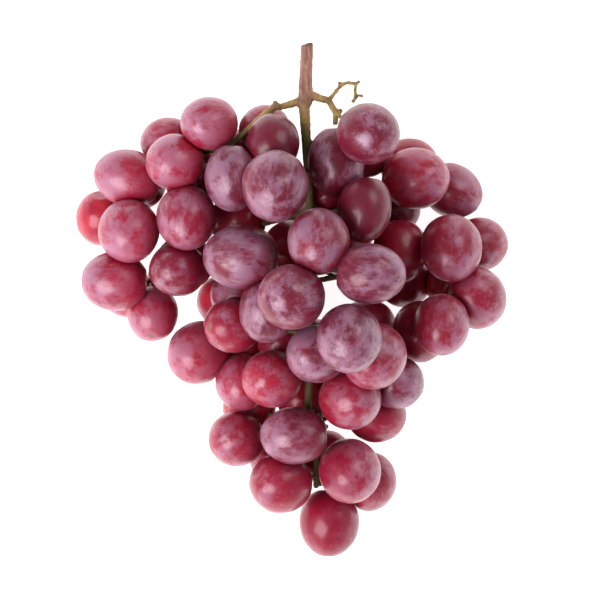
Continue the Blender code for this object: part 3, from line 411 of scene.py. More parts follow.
def fill_crevices(bunch):
    """Berries in what room is left inside, the largest first, each sunk into one spray and no other."""
    rng = np.random.default_rng(CREVICE_SEED)
    points = rng.uniform(*CREVICE_BOX, (CREVICE_TRIES, 3))
    room = np.array([room_from(bunch, k, points) for k in range(bunch.n)])
    by_stem = stem_distance(points) - CREVICE_STEM
    least = CREVICE_WIDTH[0] / 2
    roomy = np.where(np.minimum(room.min(0) + CREVICE_SUNK[1], by_stem) >= least)[0]
    roomy = [k for k in roomy if inside(bunch, points[k], 0.0)]
    roomy = np.array([k for k in roomy if inside(bunch, points[k], least)])
    points, room, by_stem = points[roomy], room[:, roomy], by_stem[roomy]
    while True:
        best = (0.0, 0, None)
        for spray in sorted(set(bunch.sprays)):
            own = np.array([name == spray for name in bunch.sprays])
            nearest = room[own].min(0)
            width = np.minimum(room[~own].min(0) - CREVICE_APART, nearest + CREVICE_SUNK[1])
            width = np.minimum(np.minimum(width, by_stem), CREVICE_WIDTH[1] / 2)
            width = np.minimum(width, points[:, 2] + PRESSED)
            width = np.where(width >= nearest + CREVICE_SUNK[0], width, 0.0)
            at = int(np.argmax(width))
            best = max(best, (float(width[at]), at, spray))
        half, at, spray = best
        if half < least:
            break
        if not inside(bunch, points[at], half):
            by_stem[at] = 0.0
            continue
        axis = unit(points[at] - np.array([MIDDLE[0], points[at][1] + UNSEEN_DOWN[1], MIDDLE[1]]))
        bunch.add("c%d" % bunch.n, spray, -1, points[at], (half, half * CREVICE_STRETCH), axis)
        bunch.prepare()
        room = np.vstack([room, room_from(bunch, bunch.n - 1, points)])
    return bunch


def room_from(bunch, k, points):
    """Distance of each point from one berry's skin."""
    d = points - bunch.cen[k]
    far = np.sqrt((d ** 2).sum(1)) + 1e-9
    u = d / far[:, None]
    return far - skin(np.linalg.inv(bunch.shape[k]), u)


def lay_out():
    """All berries, settled on the table and against each other."""
    bunch = Bunch()
    add_seen(bunch)
    bunch.prepare()
    bunch.settle(SEEN_STAGES)
    seen_home = bunch.home[:, :2].copy()
    add_unseen(bunch, random.Random(SEED))
    bunch.prepare()
    bunch.home[:len(seen_home), :2] = seen_home
    bunch.settle(UNSEEN_STAGES)
    # a berry out of sight belongs to the spray of the seen one that it lies nearest to
    seen = len(BERRIES)
    for k in range(seen, bunch.n):
        away = np.sqrt(((bunch.cen[:seen] - bunch.cen[k]) ** 2).sum(1)) - bunch.half[:seen, 0]
        bunch.sprays[k] = bunch.sprays[int(np.argmin(away))]
    bunch.settle(JOINED_STAGES, joining=True)
    return fill_crevices(bunch)


# how the skins differ: darkness, bloom, mauve cast and glow of the flesh, for the berries named and the rest
LOOKS = {
    "pink": (0.08, 0.64, 0.35, 0.10), "mauve": (0.80, 0.62, 0.85, 0.0), "dark": (1.0, 0.14, 0.60, 0.0),
    "red": (0.40, 0.58, 0.45, 0.0), "backlit": (0.06, 0.30, 0.10, 0.5), "deep": (0.45, 0.24, 0.40, 0.3),
}
LOOKS_OF = {
    "pink": "f1 f2 f3 f4 f5 f6 f14 f22 f27 f28 k2 k3 m2".split(),
    "mauve": "f12 f9 f20 f24 f23 f18 m4 f19 f7 f29 f33 f25 f13 m10 f11".split(),
    "dark": "f10 f17".split(),
    "deep": "m7 m8 m11 k14 k15 k5 k6 k16 k12".split(),
    "backlit": "k1 k4 k10 k7 k8 m3".split(),
}
SCARS = {"f4": 1.0, "f21": 1.0, "f30": 0.5}  # how dark the dry scar shows, and on the rest
SCAR = 0.12
BLOOM_PAINTED_LIGHT_FACING = (-1.2, 0.5)                    # how far out a side faces where none and all of its pale bloom stays: painted light on the sides that face out of the bunch, painted shade on those that face into it
RUBBED_AND_PAINTED_SHADE_NEAR = 0.0022                         # bloom is rubbed off this near to a neighbour that presses, which also paints shade between the berries
RUBBED_AND_PAINTED_SHADE_LEFT = 0.15                           # the share of it that stays there
PRESSING = 0.034                             # berries farther apart than this, in metres, never press
NEARLY_PRESSING = 0.0002                     # a gap between two skins that counts as pressing
FILM = 0.0001                                # each flat stays this far back from the middle between two
SPREAD = 0.12                                # how much each berry differs from its kind
LOOKS_SEED = 11
SEED_STEP = 3.7                              # between the patterns of two berries

# the stem's finish, in millimetres: how far the wood and the ochre reach from their lines, and where along
# the bunch each starts and is full
WOODY_REACH, WOODY_FROM, WOODY_FULL = 6.0, 66, 80
OCHRE_REACH, OCHRE_FROM, OCHRE_FULL = 4.0, 61, 70
KNOT_REACH = 1.9                             # of the stem's radius at a knot
CUT_DEPTH = 1.3                              # how far under the peduncle's end the dark of the cut starts
BARK_RIDGES, BARK_LUMPS = 0.12, (0.10, 0.14)     # height of the ridges, of the lumps and of more on ochre
BARK_SWELL = 0.06                            # how far the whole surface stands out over the model's


def link_mesh(name, mesh):
    made = bpy.data.objects.new(name, mesh)
    bpy.context.scene.collection.objects.link(made)
    return made


def baked(source, name):
    """The mesh of an object with its modifiers applied, as a plain object at the origin."""
    graph = bpy.context.evaluated_depsgraph_get()
    mesh = bpy.data.meshes.new_from_object(source.evaluated_get(graph), preserve_all_data_layers=True,
                                           depsgraph=graph)
    old = source.data
    bpy.data.objects.remove(source)
    bpy.data.meshes.remove(old)
    mesh.name = name
    return link_mesh(name, mesh)


def add_node(tree, kind, inputs=None, **settings):
    """A node with its settings; inputs are values or other nodes' outputs."""
    made = tree.nodes.new(kind)
    for key, value in settings.items():
        setattr(made, key, value)
    for key, value in (inputs or {}).items():
        if isinstance(value, bpy.types.NodeSocket):
            tree.links.new(value, made.inputs[key])
        else:
            made.inputs[key].default_value = value
    return made


def calc(tree, operation, a, b=0.0, clamp=False):
    return add_node(tree, "ShaderNodeMath", {0: a, 1: b}, operation=operation, use_clamp=clamp).outputs[0]


def ramp(tree, value, low, high, to_low=0.0, to_high=1.0):
    """A smooth step from low to high."""
    inputs = {"Value": value, "From Min": low, "From Max": high, "To Min": to_low, "To Max": to_high}
    return add_node(tree, "ShaderNodeMapRange", inputs, interpolation_type="SMOOTHSTEP").outputs[0]


def mix(tree, factor, a, b):
    made = add_node(tree, "ShaderNodeMix", data_type="RGBA")
    for key, value in ((0, factor), (6, a), (7, b)):
        if isinstance(value, bpy.types.NodeSocket):
            tree.links.new(value, made.inputs[key])
        else:
            made.inputs[key].default_value = value if key == 0 else (*value, 1.0)
    return made.outputs[2]


def uneven(tree, value, amount):
    """A value round a half, made into one round nothing that swings by the amount."""
    return calc(tree, "MULTIPLY", calc(tree, "SUBTRACT", value, 0.5), amount)


def cloud(tree, vector, seed, scale, detail=4.0, rough=0.55, distortion=0.0):
    inputs = {"Vector": vector, "W": seed, "Scale": scale, "Detail": detail, "Roughness": rough,
              "Distortion": distortion}
    return add_node(tree, "ShaderNodeTexNoise", inputs, noise_dimensions="4D").outputs[0]


def new_group(name, kind, inputs, outputs):
    """A node group with named sockets, and its group input and output nodes."""
    tree = bpy.data.node_groups.new(name, kind)
    for socket, form, default in inputs:
        made = tree.interface.new_socket(socket, in_out="INPUT", socket_type=form)
        if default is not None:
            made.default_value = default
    for socket, form in outputs:
        tree.interface.new_socket(socket, in_out="OUTPUT", socket_type=form)
    return tree, tree.nodes.new("NodeGroupInput"), tree.nodes.new("NodeGroupOutput")


def named(tree, name, form="FLOAT"):
    return add_node(tree, "GeometryNodeInputNamedAttribute", {"Name": name}, data_type=form).outputs[0]


def berry_tree():
    """Geometry nodes: one berry form, uneven and dimpled at its ends, on every point of a spray."""
    tree, given, result = new_group(
        "berries of a spray", "GeometryNodeTree",
        [("Places", "NodeSocketGeometry", None), ("Roundness", "NodeSocketInt", 5),
         ("Fuller Stem End", "NodeSocketFloat", 0.03), ("Stem Dimple", "NodeSocketFloat", 0.06),
         ("Blossom Dimple", "NodeSocketFloat", 0.02), ("Unevenness", "NodeSocketFloat", 0.0003),
         ("Skin", "NodeSocketMaterial", None)],
        [("Berries", "NodeSocketGeometry")])
    given = given.outputs
    form = add_node(tree, "GeometryNodeMeshIcoSphere", {"Radius": 1.0, "Subdivisions": given["Roundness"]})
    place = add_node(tree, "GeometryNodeInputPosition").outputs[0]
    marked = add_node(tree, "GeometryNodeStoreNamedAttribute",
                      {"Geometry": form.outputs[0], "Name": "on_berry", "Value": place},
                      data_type="FLOAT_VECTOR")
    height = add_node(tree, "ShaderNodeSeparateXYZ", {0: place}).outputs[2]
    width = calc(tree, "SUBTRACT", 1.0, calc(tree, "MULTIPLY", height, given["Fuller Stem End"]))
    dent = calc(tree, "MULTIPLY", ramp(tree, height, -0.93, -1.0), given["Stem Dimple"])
    pit = calc(tree, "MULTIPLY", ramp(tree, height, 0.985, 1.0), given["Blossom Dimple"])
    length = calc(tree, "SUBTRACT", calc(tree, "SUBTRACT", 1.0, dent), pit)
    factors = add_node(tree, "ShaderNodeCombineXYZ", {0: width, 1: width, 2: length}).outputs[0]
    formed = add_node(tree, "ShaderNodeVectorMath", {0: place, 1: factors}, operation="MULTIPLY").outputs[0]
    shaped = add_node(tree, "GeometryNodeSetPosition", {"Geometry": marked.outputs[0], "Position": formed})
    euler = named(tree, "turn", "FLOAT_VECTOR")
    turn = add_node(tree, "FunctionNodeEulerToRotation", {0: euler}).outputs[0]
    spread = add_node(tree, "GeometryNodeInstanceOnPoints",
                      {"Points": given["Places"], "Instance": shaped.outputs[0], "Rotation": turn,
                       "Scale": named(tree, "size", "FLOAT_VECTOR")})
    whole = add_node(tree, "GeometryNodeRealizeInstances", {"Geometry": spread.outputs[0]})
    lumps = cloud(tree, named(tree, "on_berry", "FLOAT_VECTOR"), named(tree, "seed"), 1.3, 2.0)
    rise = calc(tree, "MULTIPLY", calc(tree, "SUBTRACT", lumps, 0.5), given["Unevenness"])
    normal = add_node(tree, "GeometryNodeInputNormal").outputs[0]
    lift = add_node(tree, "ShaderNodeVectorMath", {0: normal, "Scale": rise}, operation="SCALE")
    moved = add_node(tree, "GeometryNodeSetPosition",
                     {"Geometry": whole.outputs[0], "Offset": lift.outputs[0]})
    smooth = add_node(tree, "GeometryNodeSetShadeSmooth", {"Geometry": moved.outputs[0]})
    dressed = add_node(tree, "GeometryNodeSetMaterial",
                       {"Geometry": smooth.outputs[0], "Material": given["Skin"]})
    tree.links.new(dressed.outputs[0], result.inputs[0])
    return tree


def set_inputs(modifier, values):
    """Sets a nodes modifier's inputs by their sockets' identifiers."""
    sockets = {item.name: item.identifier for item in modifier.node_group.interface.items_tree
               if item.in_out == "INPUT"}
    for name, value in values.items():
        modifier[sockets[name]] = value


def looks_of(bunch):
    """Darkness, bloom, mauve cast, glow and scar of each berry."""
    rng = random.Random(LOOKS_SEED)
    kinds = {name: kind for kind, names in LOOKS_OF.items() for name in names}
    rows = []
    for name in bunch.names:
        base = LOOKS[kinds.get(name, "deep" if name[0] in "ch" else "red")]
        row = [min(1.0, max(0.0, value + rng.uniform(-SPREAD, SPREAD))) for value in base]
        rows.append(row + [SCARS.get(name, SCAR)])
    return np.array(rows)


def press_flat(mesh, bunch, members, centres):
    """Flattens each berry where a neighbour or the table presses, and marks where it keeps its pale bloom:
    fuller on the sides that face out of the bunch as painted light, thinner on those that face into it and
    where a neighbour presses, which is rubbed bloom and painted shade.
    """
    points = np.empty(len(mesh.vertices) * 3)
    mesh.vertices.foreach_get("co", points)
    points = points.reshape(-1, 3)
    each = len(points) // len(members)
    kept = np.ones(len(points))
    middle = (np.array([MIDDLE[0], 0.0, MIDDLE[1]]) - np.array([*OFF_MIDDLE, 0.0])) * MM
    for row, k in enumerate(members):
        own = points[row * each:(row + 1) * each]
        # the pale bloom is kept on the side facing out of the bunch: painted light there, painted shade on
        # the side facing in
        outward = unit((centres[k] - middle) * (1.0, 0.0, 1.0))
        toward = (own - centres[k]) @ outward / np.sqrt(((own - centres[k]) ** 2).sum(1))
        bloomy = kept[row * each:(row + 1) * each]
        bloomy[:] = np.clip((toward - BLOOM_PAINTED_LIGHT_FACING[0]) / np.ptp(BLOOM_PAINTED_LIGHT_FACING), 0, 1)
        for other in range(bunch.n):
            if other == k:
                continue
            d = centres[other] - centres[k]
            far = float(np.sqrt((d ** 2).sum()))
            if far > PRESSING:
                continue
            u = d / far
            mine = float(bunch.reach([k], u[None])[0]) * MM
            theirs = float(bunch.reach([other], u[None])[0]) * MM
            over = mine + theirs - far
            if over < -NEARLY_PRESSING:
                continue
            beyond = (own - centres[k]) @ u - (mine - over / 2 - FILM)
            own -= np.maximum(beyond, 0)[:, None] * u
            # bloom thins next to a pressing neighbour: rubbed bloom that also paints shade between the
            # berries
            worn_and_painted_shade = np.clip(-beyond / RUBBED_AND_PAINTED_SHADE_NEAR, RUBBED_AND_PAINTED_SHADE_LEFT, 1)
            bloomy[:] = np.minimum(bloomy, worn_and_painted_shade)
        own[:, 2] = np.maximum(own[:, 2], 0.0)
    mesh.vertices.foreach_set("co", points.ravel())
    put_attribute(mesh, "kept", kept)
    mesh.update()


def bloom_group():
    """Masks of a grape's waxy bloom: how thick it lies, where it is rubbed off, and its fine grain."""
    tree, given, result = new_group(
        "waxy bloom", "ShaderNodeTree",
        [("Vector", "NodeSocketVector", None), ("Seed", "NodeSocketFloat", 0.0),
         ("Amount", "NodeSocketFloat", 0.5), ("Patches", "NodeSocketFloat", 1.7),
         ("Wisps", "NodeSocketFloat", 6.0), ("Grain", "NodeSocketFloat", 26.0)],
        [("Bloom", "NodeSocketFloat"), ("Rubbed", "NodeSocketFloat"), ("Dust", "NodeSocketFloat")])
    given = given.outputs
    where, seed = given["Vector"], given["Seed"]
    patches = cloud(tree, where, seed, given["Patches"], 3.0, 0.5, 0.3)
    smeared = add_node(tree, "ShaderNodeMapping", {"Vector": where, "Scale": (1.0, 1.0, 0.45)}).outputs[0]
    wisps = cloud(tree, smeared, calc(tree, "ADD", seed, 7.0), given["Wisps"], 7.0, 0.66, 0.4)
    dust = cloud(tree, where, calc(tree, "ADD", seed, 3.0), given["Grain"], 3.0, 0.7)
    both = calc(tree, "ADD", calc(tree, "MULTIPLY", patches, 0.58), calc(tree, "MULTIPLY", wisps, 0.42))
    both = calc(tree, "ADD", both, uneven(tree, dust, 0.12))
    edge = calc(tree, "SUBTRACT", 0.70, calc(tree, "MULTIPLY", given["Amount"], 0.36))
    thick = ramp(tree, calc(tree, "SUBTRACT", both, edge), -0.06, 0.11, 0.08, 1.0)
    rub = cloud(tree, where, calc(tree, "ADD", seed, 19.0), 2.1, 4.0, 0.6, 0.3)
    rubbed = ramp(tree, rub, 0.60, 0.68)
    kept = calc(tree, "SUBTRACT", 1.0, calc(tree, "MULTIPLY", rubbed, 0.7))
    tree.links.new(calc(tree, "MULTIPLY", thick, kept), result.inputs[0])
    tree.links.new(rubbed, result.inputs[1])
    tree.links.new(dust, result.inputs[2])
    return tree


def attribute(tree, name):
    return add_node(tree, "ShaderNodeAttribute", attribute_name=name)


def new_material(name):
    made = bpy.data.materials.new(name)
    made.use_nodes = True
    return made, made.node_tree, made.node_tree.nodes["Principled BSDF"]


def fill(tree, shader, values):
    for key, value in values.items():
        if isinstance(value, bpy.types.NodeSocket):
            tree.links.new(value, shader.inputs[key])
        else:
            shader.inputs[key].default_value = value


def berry_skin(settings):
    """Thin dark skin over glowing flesh, under a patchy pale bloom."""
    made, tree, shader = new_material("grape skin under bloom")
    where = attribute(tree, "on_berry").outputs["Vector"]
    seed = attribute(tree, "seed").outputs["Fac"]
    dark = attribute(tree, "darkness").outputs["Fac"]
    bloomy = attribute(tree, "bloomy").outputs["Fac"]
    mauve = attribute(tree, "mauve").outputs["Fac"]
    glow = attribute(tree, "glow").outputs["Fac"]
    amount = calc(tree, "MULTIPLY", bloomy, settings.bloom, clamp=True)
    group = add_node(tree, "ShaderNodeGroup", node_tree=bloom_group())
    fill(tree, group, {"Vector": where, "Seed": seed, "Amount": amount})
    bloom, rubbed, dust = group.outputs
    # the kept mask thins the pale bloom on the sides facing into the bunch and next to pressing neighbours:
    # painted shade there and painted light on the outer sides, over bloom rubbed off where berries press
    bloom = calc(tree, "MULTIPLY", bloom, attribute(tree, "kept").outputs["Fac"])
    drift = cloud(tree, where, calc(tree, "ADD", seed, 31.0), 1.1, 3.0)
    depth = calc(tree, "ADD", dark, uneven(tree, drift, 0.9), clamp=True)
    red = mix(tree, depth, settings.skin_red, settings.skin_dark)
    red = mix(tree, calc(tree, "MULTIPLY", glow, ramp(tree, drift, 0.38, 0.62)), red, settings.flesh_glow)
    red = mix(tree, calc(tree, "MULTIPLY", rubbed, 0.5), red, settings.skin_rubbed)
    pale = mix(tree, mauve, settings.bloom_pink, settings.bloom_mauve)
    coloured = mix(tree, calc(tree, "MULTIPLY", bloom, 0.78), red, pale)
    coloured = mix(tree, ramp(tree, dust, 0.70, 0.80, 0.0, 0.5), coloured, settings.bloom_speck)
    height = add_node(tree, "ShaderNodeSeparateXYZ", {0: where}).outputs[2]
    scar = ramp(tree, calc(tree, "ADD", height, calc(tree, "MULTIPLY", dust, 0.003)), 0.9945, 0.997)
    scar = calc(tree, "MULTIPLY", scar, attribute(tree, "scarred").outputs["Fac"])
    coloured = mix(tree, scar, coloured, settings.scar_brown)
    bumps = calc(tree, "ADD", calc(tree, "MULTIPLY", dust, 0.25), calc(tree, "MULTIPLY", bloom, 0.6))
    bump = add_node(tree, "ShaderNodeBump", {"Strength": 0.12, "Distance": 0.0002, "Height": bumps})
    fill(tree, shader, {
        "Base Color": coloured,
        "Roughness": calc(tree, "ADD", 0.36, calc(tree, "MULTIPLY", bloom, 0.16)),
        "Coat Weight": 0.35, "Coat Roughness": 0.20, "Normal": bump.outputs[0], "IOR": 1.60,
        "Specular IOR Level": calc(tree, "ADD", 0.28, calc(tree, "MULTIPLY", bloom, 0.65)),
        "Specular Tint": (0.98, 0.74, 0.88, 1.0),
        "Subsurface Weight": 0.25, "Subsurface Radius": (1.0, 0.10, 0.10), "Subsurface Scale": 0.004,
        "Sheen Weight": 0.15, "Sheen Roughness": 0.15, "Sheen Tint": (0.95, 0.74, 0.84, 1.0)})
    return made


def stem_bark(settings):
    """Brown and ridged on the peduncle, ochre on the arms with dark knots, green on the pedicels."""
    made, tree, shader = new_material("grape stem")
    place = add_node(tree, "ShaderNodeTexCoord").outputs["Object"]
    woody = attribute(tree, "woody").outputs["Fac"]
    ochre = attribute(tree, "ochre").outputs["Fac"]
    knot = attribute(tree, "knot").outputs["Fac"]
    long = add_node(tree, "ShaderNodeMapping", {"Vector": place, "Scale": (1.0, 0.16, 1.0)}).outputs[0]
    ridges = cloud(tree, long, 1.0, 900.0, 4.0, 0.6)
    mottle = cloud(tree, place, 2.0, 260.0, 5.0, 0.65)
    specks = cloud(tree, place, 5.0, 900.0, 3.0, 0.7)
    green = mix(tree, ramp(tree, mottle, 0.35, 0.65), settings.stem_green, settings.stem_olive)
    tan = mix(tree, ramp(tree, mottle, 0.40, 0.60), settings.stem_ochre, settings.stem_tan)
    brown = mix(tree, ramp(tree, ridges, 0.38, 0.62), settings.peduncle_brown, settings.peduncle_pale)
    colour = mix(tree, calc(tree, "ADD", ochre, uneven(tree, mottle, 0.8), clamp=True), green, tan)
    colour = mix(tree, calc(tree, "ADD", woody, uneven(tree, mottle, 0.9), clamp=True), colour, brown)
    colour = mix(tree, calc(tree, "MULTIPLY", knot, 0.75), colour, settings.knot_brown)
    colour = mix(tree, ramp(tree, specks, 0.62, 0.72, 0.0, 0.5), colour, settings.knot_brown)
    bumps = calc(tree, "ADD", ridges, calc(tree, "MULTIPLY", specks, 0.6))
    bump = add_node(tree, "ShaderNodeBump", {"Strength": 0.5, "Distance": 0.0003, "Height": bumps})
    fill(tree, shader, {"Base Color": colour, "Normal": bump.outputs[0],
                        "Roughness": ramp(tree, mottle, 0.3, 0.7, 0.52, 0.72),
                        "Subsurface Weight": 0.08, "Subsurface Radius": (0.9, 0.6, 0.25),
                        "Subsurface Scale": 0.001})
    return made


def line_nearness(points, line, reach):
    """1 on a line of points, falling to 0 at the reach, all in millimetres."""
    best = np.full(len(points), 1e9)
    for p, q in zip(line, line[1:]):
        p, q = np.array(p[:3]), np.array(q[:3])
        along = q - p
        t = np.clip(((points - p) @ along) / (along ** 2).sum(), 0, 1)
        best = np.minimum(best, np.sqrt(((points - p - t[:, None] * along) ** 2).sum(1)))
    return np.clip(1 - best / reach, 0, 1)


def stem_finish(at):
    """Where the stem is woody, ochre and knotted, for points in the tables' millimetres."""
    along = at[:, 1]
    woody = np.clip(line_nearness(at, RACHIS[:5], WOODY_REACH) * 2.5, 0, 1)
    woody *= np.clip((along - WOODY_FROM) / (WOODY_FULL - WOODY_FROM), 0, 1)
    lines = (LEFT_ARM, RIGHT_ARM, BARE_TWIG, RACHIS[:6], *STUBS)
    ochre = np.clip(np.max([line_nearness(at, line, OCHRE_REACH) for line in lines], axis=0) * 2.2, 0, 1)
    ochre *= np.clip((along - OCHRE_FROM) / (OCHRE_FULL - OCHRE_FROM), 0, 1)
    knot = np.clip(along - RACHIS[0][1] + CUT_DEPTH, 0, 1)
    ends = [stub[-1] for stub in STUBS]
    for *spot, radius in (LEFT_ARM[0], LEFT_ARM[2], RIGHT_ARM[1], *BARE_TWIG[1:], *ends):
        away = np.sqrt(((at - np.array(spot)) ** 2).sum(1))
        knot = np.maximum(knot, np.clip(1.25 - away / (radius * KNOT_REACH), 0, 1))
    return woody, ochre, knot


def put_attribute(mesh, name, values, form="FLOAT"):
    made = mesh.attributes.new(name, form, "POINT")
    flat = np.ascontiguousarray(values, np.float32).ravel()
    made.data.foreach_set("value" if form == "FLOAT" else "vector", flat)


def colour_setting(name, description, default):
    return FloatVectorProperty(name=name, description=description, default=default, min=0.0, max=1.0,
                               subtype="COLOR")


class GrapeSettings(bpy.types.PropertyGroup):
    """Sizes and colours of the bunch that a user would change."""
    roundness: IntProperty(name="Roundness", description="Subdivisions of each berry",
                           default=5, min=3, max=5)
    unevenness: FloatProperty(name="Unevenness", description="How far a berry departs from an even oval",
                              default=0.0009, min=0.0, unit="LENGTH")
    stem_dimple: FloatProperty(name="Stem dimple",
                               description="Depth of the hollow round the pedicel, of the half length",
                               default=0.06, min=0.0, max=0.2, subtype="FACTOR")
    stem_voxel: FloatProperty(name="Stem detail", description="Size of the stem's finest detail",
                              default=0.00046, min=0.0003, unit="LENGTH")
    bloom: FloatProperty(name="Bloom", description="How much waxy bloom the berries keep",
                         default=1.0, min=0.0, max=1.5, subtype="FACTOR")
    skin_red: colour_setting("Red skin", "The lightest skin", (0.38, 0.006, 0.032))
    skin_dark: colour_setting("Dark skin", "The ripest skin", (0.12, 0.002, 0.014))
    skin_rubbed: colour_setting("Rubbed skin", "Skin where the bloom is rubbed off", (0.22, 0.002, 0.012))
    flesh_glow: colour_setting("Flesh glow", "Where the light comes through", (0.62, 0.03, 0.035))
    bloom_pink: colour_setting("Pink bloom", "Bloom over red skin", (0.45, 0.16, 0.26))
    bloom_mauve: colour_setting("Mauve bloom", "Bloom over dark skin", (0.30, 0.14, 0.23))
    bloom_speck: colour_setting("Specks", "Fine specks of thick bloom", (0.66, 0.42, 0.46))
    scar_brown: colour_setting("Scar", "The dry scar at the blossom end", (0.22, 0.09, 0.04))
    peduncle_brown: colour_setting("Peduncle", "Bark of the peduncle", (0.22, 0.085, 0.06))
    peduncle_pale: colour_setting("Pale bark", "Ridges of the peduncle", (0.42, 0.215, 0.155))
    stem_tan: colour_setting("Tan stem", "The fork and side arms", (0.36, 0.22, 0.07))
    stem_ochre: colour_setting("Ochre stem", "Yellow patches of the side arms", (0.52, 0.38, 0.11))
    stem_green: colour_setting("Green stem", "Pedicels and inner rachis", (0.12, 0.12, 0.025))
    stem_olive: colour_setting("Olive stem", "Darker patches of the inner stem", (0.085, 0.045, 0.016))
    knot_brown: colour_setting("Knots", "Knots, stubs and specks", (0.11, 0.04, 0.02))
    floor_colour: colour_setting("Table", "The table under the bunch", (0.90, 0.90, 0.90))
    camera_height: FloatProperty(name="Camera height", description="Height of the camera over the table",
                                 default=2.8, min=0.5, unit="LENGTH")
    view_width: FloatProperty(name="View width", description="Width of the picture at the bunch",
                              default=0.228, min=0.1, unit="LENGTH")


class GRAPES_OT_berries(bpy.types.Operator):
    """Makes the berries of every spray."""
    bl_idname = "grapes.berries"
    bl_label = "Berries"

    def execute(self, context):
        settings = context.scene.grapes
        bunch = lay_out()
        centres = (bunch.cen - np.array([*OFF_MIDDLE, 0.0])) * MM
        looks = looks_of(bunch)
        skin = berry_skin(settings)
        tree = berry_tree()
        for spray in sorted(set(bunch.sprays)):
            members = [k for k in range(bunch.n) if bunch.sprays[k] == spray]
            name = "grapes_" + spray
            places = bpy.data.meshes.new(name)
            places.from_pydata([tuple(centres[k]) for k in members], [], [])
            upright = Vector((0, 0, 1))
            turns = [upright.rotation_difference(Vector(bunch.axes[k])).to_euler() for k in members]
            sizes = [(bunch.half[k, 0] * MM, bunch.half[k, 0] * MM, bunch.half[k, 1] * MM) for k in members]
            put_attribute(places, "turn", turns, "FLOAT_VECTOR")
            put_attribute(places, "size", sizes, "FLOAT_VECTOR")
            put_attribute(places, "seed", [k * SEED_STEP for k in members])
            for column, label in enumerate(("darkness", "bloomy", "mauve", "glow", "scarred")):
                put_attribute(places, label, looks[members, column])
            holder = link_mesh(name + "_places", places)
            grown = holder.modifiers.new("berries", "NODES")
            grown.node_group = tree
            set_inputs(grown, {"Roundness": settings.roundness, "Unevenness": settings.unevenness,
                               "Stem Dimple": settings.stem_dimple, "Skin": skin})
            piece = baked(holder, name)
            press_flat(piece.data, bunch, members, centres)
            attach(piece, "root")
            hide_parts("berries_" + spray)
        return {"FINISHED"}


class GRAPES_OT_stem(bpy.types.Operator):
    """Grows the stem round the model's: rounder, knotty and ridged."""
    bl_idname = "grapes.stem"
    bl_label = "Stem"

    def execute(self, context):
        settings = context.scene.grapes
        shape = bmesh.new()
        shape.from_mesh(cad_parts["stem"].data)
        bmesh.ops.remove_doubles(shape, verts=shape.verts, dist=1e-6)
        data = bpy.data.meshes.new("stem")
        shape.to_mesh(data)
        shape.free()
        rough = link_mesh("rough_stem", data)
        voxels = rough.modifiers.new("voxels", "REMESH")
        voxels.mode = "VOXEL"
        voxels.voxel_size = settings.stem_voxel
        evened = rough.modifiers.new("evened", "SMOOTH")
        evened.factor = 0.5
        evened.iterations = 8
        piece = baked(rough, "grape_stem")
        mesh = piece.data
        points = np.empty(len(mesh.vertices) * 3)
        normals = np.empty(len(mesh.vertices) * 3)
        mesh.vertices.foreach_get("co", points)
        mesh.vertices.foreach_get("normal", normals)
        points, normals = points.reshape(-1, 3), normals.reshape(-1, 3)
        at = points / MM + np.array([*OFF_MIDDLE, 0.0])
        woody, ochre, knot = stem_finish(at)
        ridges = np.array([noise.noise(Vector((x * 0.9, y * 0.16, z * 0.9))) for x, y, z in at])
        lumps = np.array([noise.noise(Vector(p) * 0.8) for p in at])
        rise = ridges * woody * BARK_RIDGES + lumps * (BARK_LUMPS[0] + BARK_LUMPS[1] * ochre) + BARK_SWELL
        points += normals * rise[:, None] * MM
        points[:, 2] = np.maximum(points[:, 2], 0.0)
        mesh.vertices.foreach_set("co", points.ravel())
        for name, values in (("woody", woody), ("ochre", ochre), ("knot", knot)):
            put_attribute(mesh, name, values)
        mesh.materials.clear()
        mesh.materials.append(stem_bark(settings))
        mesh.shade_smooth()
        mesh.update()
        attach(piece, "root")
        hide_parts("stem")
        return {"FINISHED"}


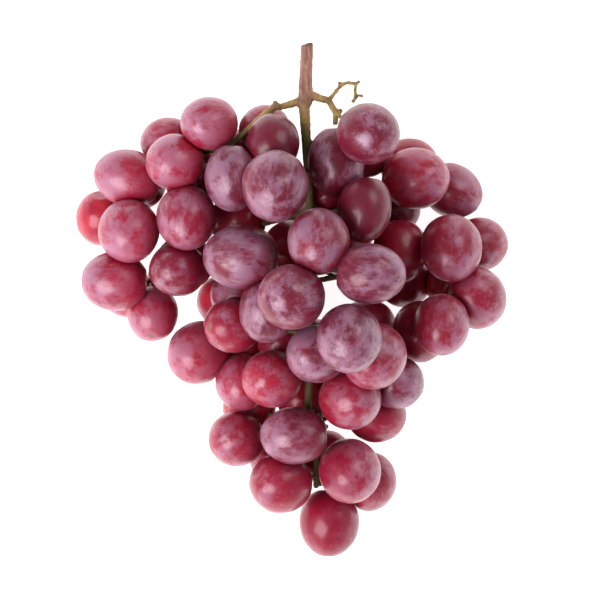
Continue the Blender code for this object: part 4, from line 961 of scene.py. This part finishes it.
class GRAPES_OT_stage(bpy.types.Operator):
    """Sets the table, the soft lights and the camera straight above."""
    bl_idname = "grapes.stage"
    bl_label = "Stage"

    def execute(self, context):
        settings = context.scene.grapes
        made, tree, shader = new_material("pale table")
        fill(tree, shader, {"Base Color": (*settings.floor_colour, 1.0), "Roughness": 0.9,
                            "Emission Color": (1.0, 1.0, 1.0, 1.0), "Emission Strength": FLOOR_GLOW})
        table = bpy.data.meshes.new("table")
        half = TABLE_SIZE / 2
        corners = [(-half, -half, 0.0), (half, -half, 0.0), (half, half, 0.0), (-half, half, 0.0)]
        table.from_pydata(corners, [], [(0, 1, 2, 3)])
        table.materials.append(made)
        link_mesh("table", table)
        world = bpy.data.worlds.new("studio")
        world.use_nodes = True
        room = world.node_tree
        toward = add_node(room, "ShaderNodeTexCoord").outputs["Generated"]
        up = add_node(room, "ShaderNodeSeparateXYZ", {0: toward}).outputs[2]
        level = ramp(room, up, 0.05, 0.95, *AMBIENT)
        room.links.new(level, room.nodes["Background"].inputs["Strength"])
        room.nodes["Background"].inputs["Color"].default_value = (1.0, 1.0, 1.0, 1.0)
        context.scene.world = world
        for name, place, size, power in LIGHTS:
            lamp = bpy.data.lights.new(name, "AREA")
            lamp.shape = "DISK"
            lamp.size = size
            lamp.energy = power
            holder = bpy.data.objects.new(name, lamp)
            holder.location = place
            aim = Vector((0, 0, LIT_LEVEL)) - Vector(place)
            holder.rotation_euler = aim.to_track_quat("-Z", "Y").to_euler()
            holder.visible_camera = False
            context.scene.collection.objects.link(holder)
        lens = bpy.data.cameras.new("camera")
        lens.sensor_width = SENSOR
        lens.lens = SENSOR * (settings.camera_height - VIEW_LEVEL) / settings.view_width
        lens.clip_start, lens.clip_end = NEAR_CLIP, FAR_CLIP
        camera = bpy.data.objects.new("camera", lens)
        camera.location = (-OFF_MIDDLE[0] * MM, -OFF_MIDDLE[1] * MM, settings.camera_height)
        context.scene.collection.objects.link(camera)
        context.scene.camera = camera
        context.scene.view_settings.view_transform = "Standard"
        return {"FINISHED"}


class GRAPES_PT_panel(bpy.types.Panel):
    """Lists the steps and the settings."""
    bl_idname = "GRAPES_PT_panel"
    bl_label = "Bunch of grapes"
    bl_space_type = "VIEW_3D"
    bl_region_type = "UI"
    bl_category = "Grapes"

    def draw(self, context):
        for step in STEPS:
            self.layout.operator(step.bl_idname)
        for name in GrapeSettings.__annotations__:
            self.layout.prop(context.scene.grapes, name)


STEPS = (GRAPES_OT_berries, GRAPES_OT_stem, GRAPES_OT_stage)
CLASSES = (GrapeSettings, *STEPS, GRAPES_PT_panel)


def register():
    for made in CLASSES:
        bpy.utils.register_class(made)
    bpy.types.Scene.grapes = PointerProperty(type=GrapeSettings)


def unregister():
    del bpy.types.Scene.grapes
    for made in reversed(CLASSES):
        bpy.utils.unregister_class(made)


def main():
    register()
    bpy.ops.grapes.berries()
    bpy.ops.grapes.stem()
    bpy.ops.grapes.stage()


if __name__ == "__main__":
    main()
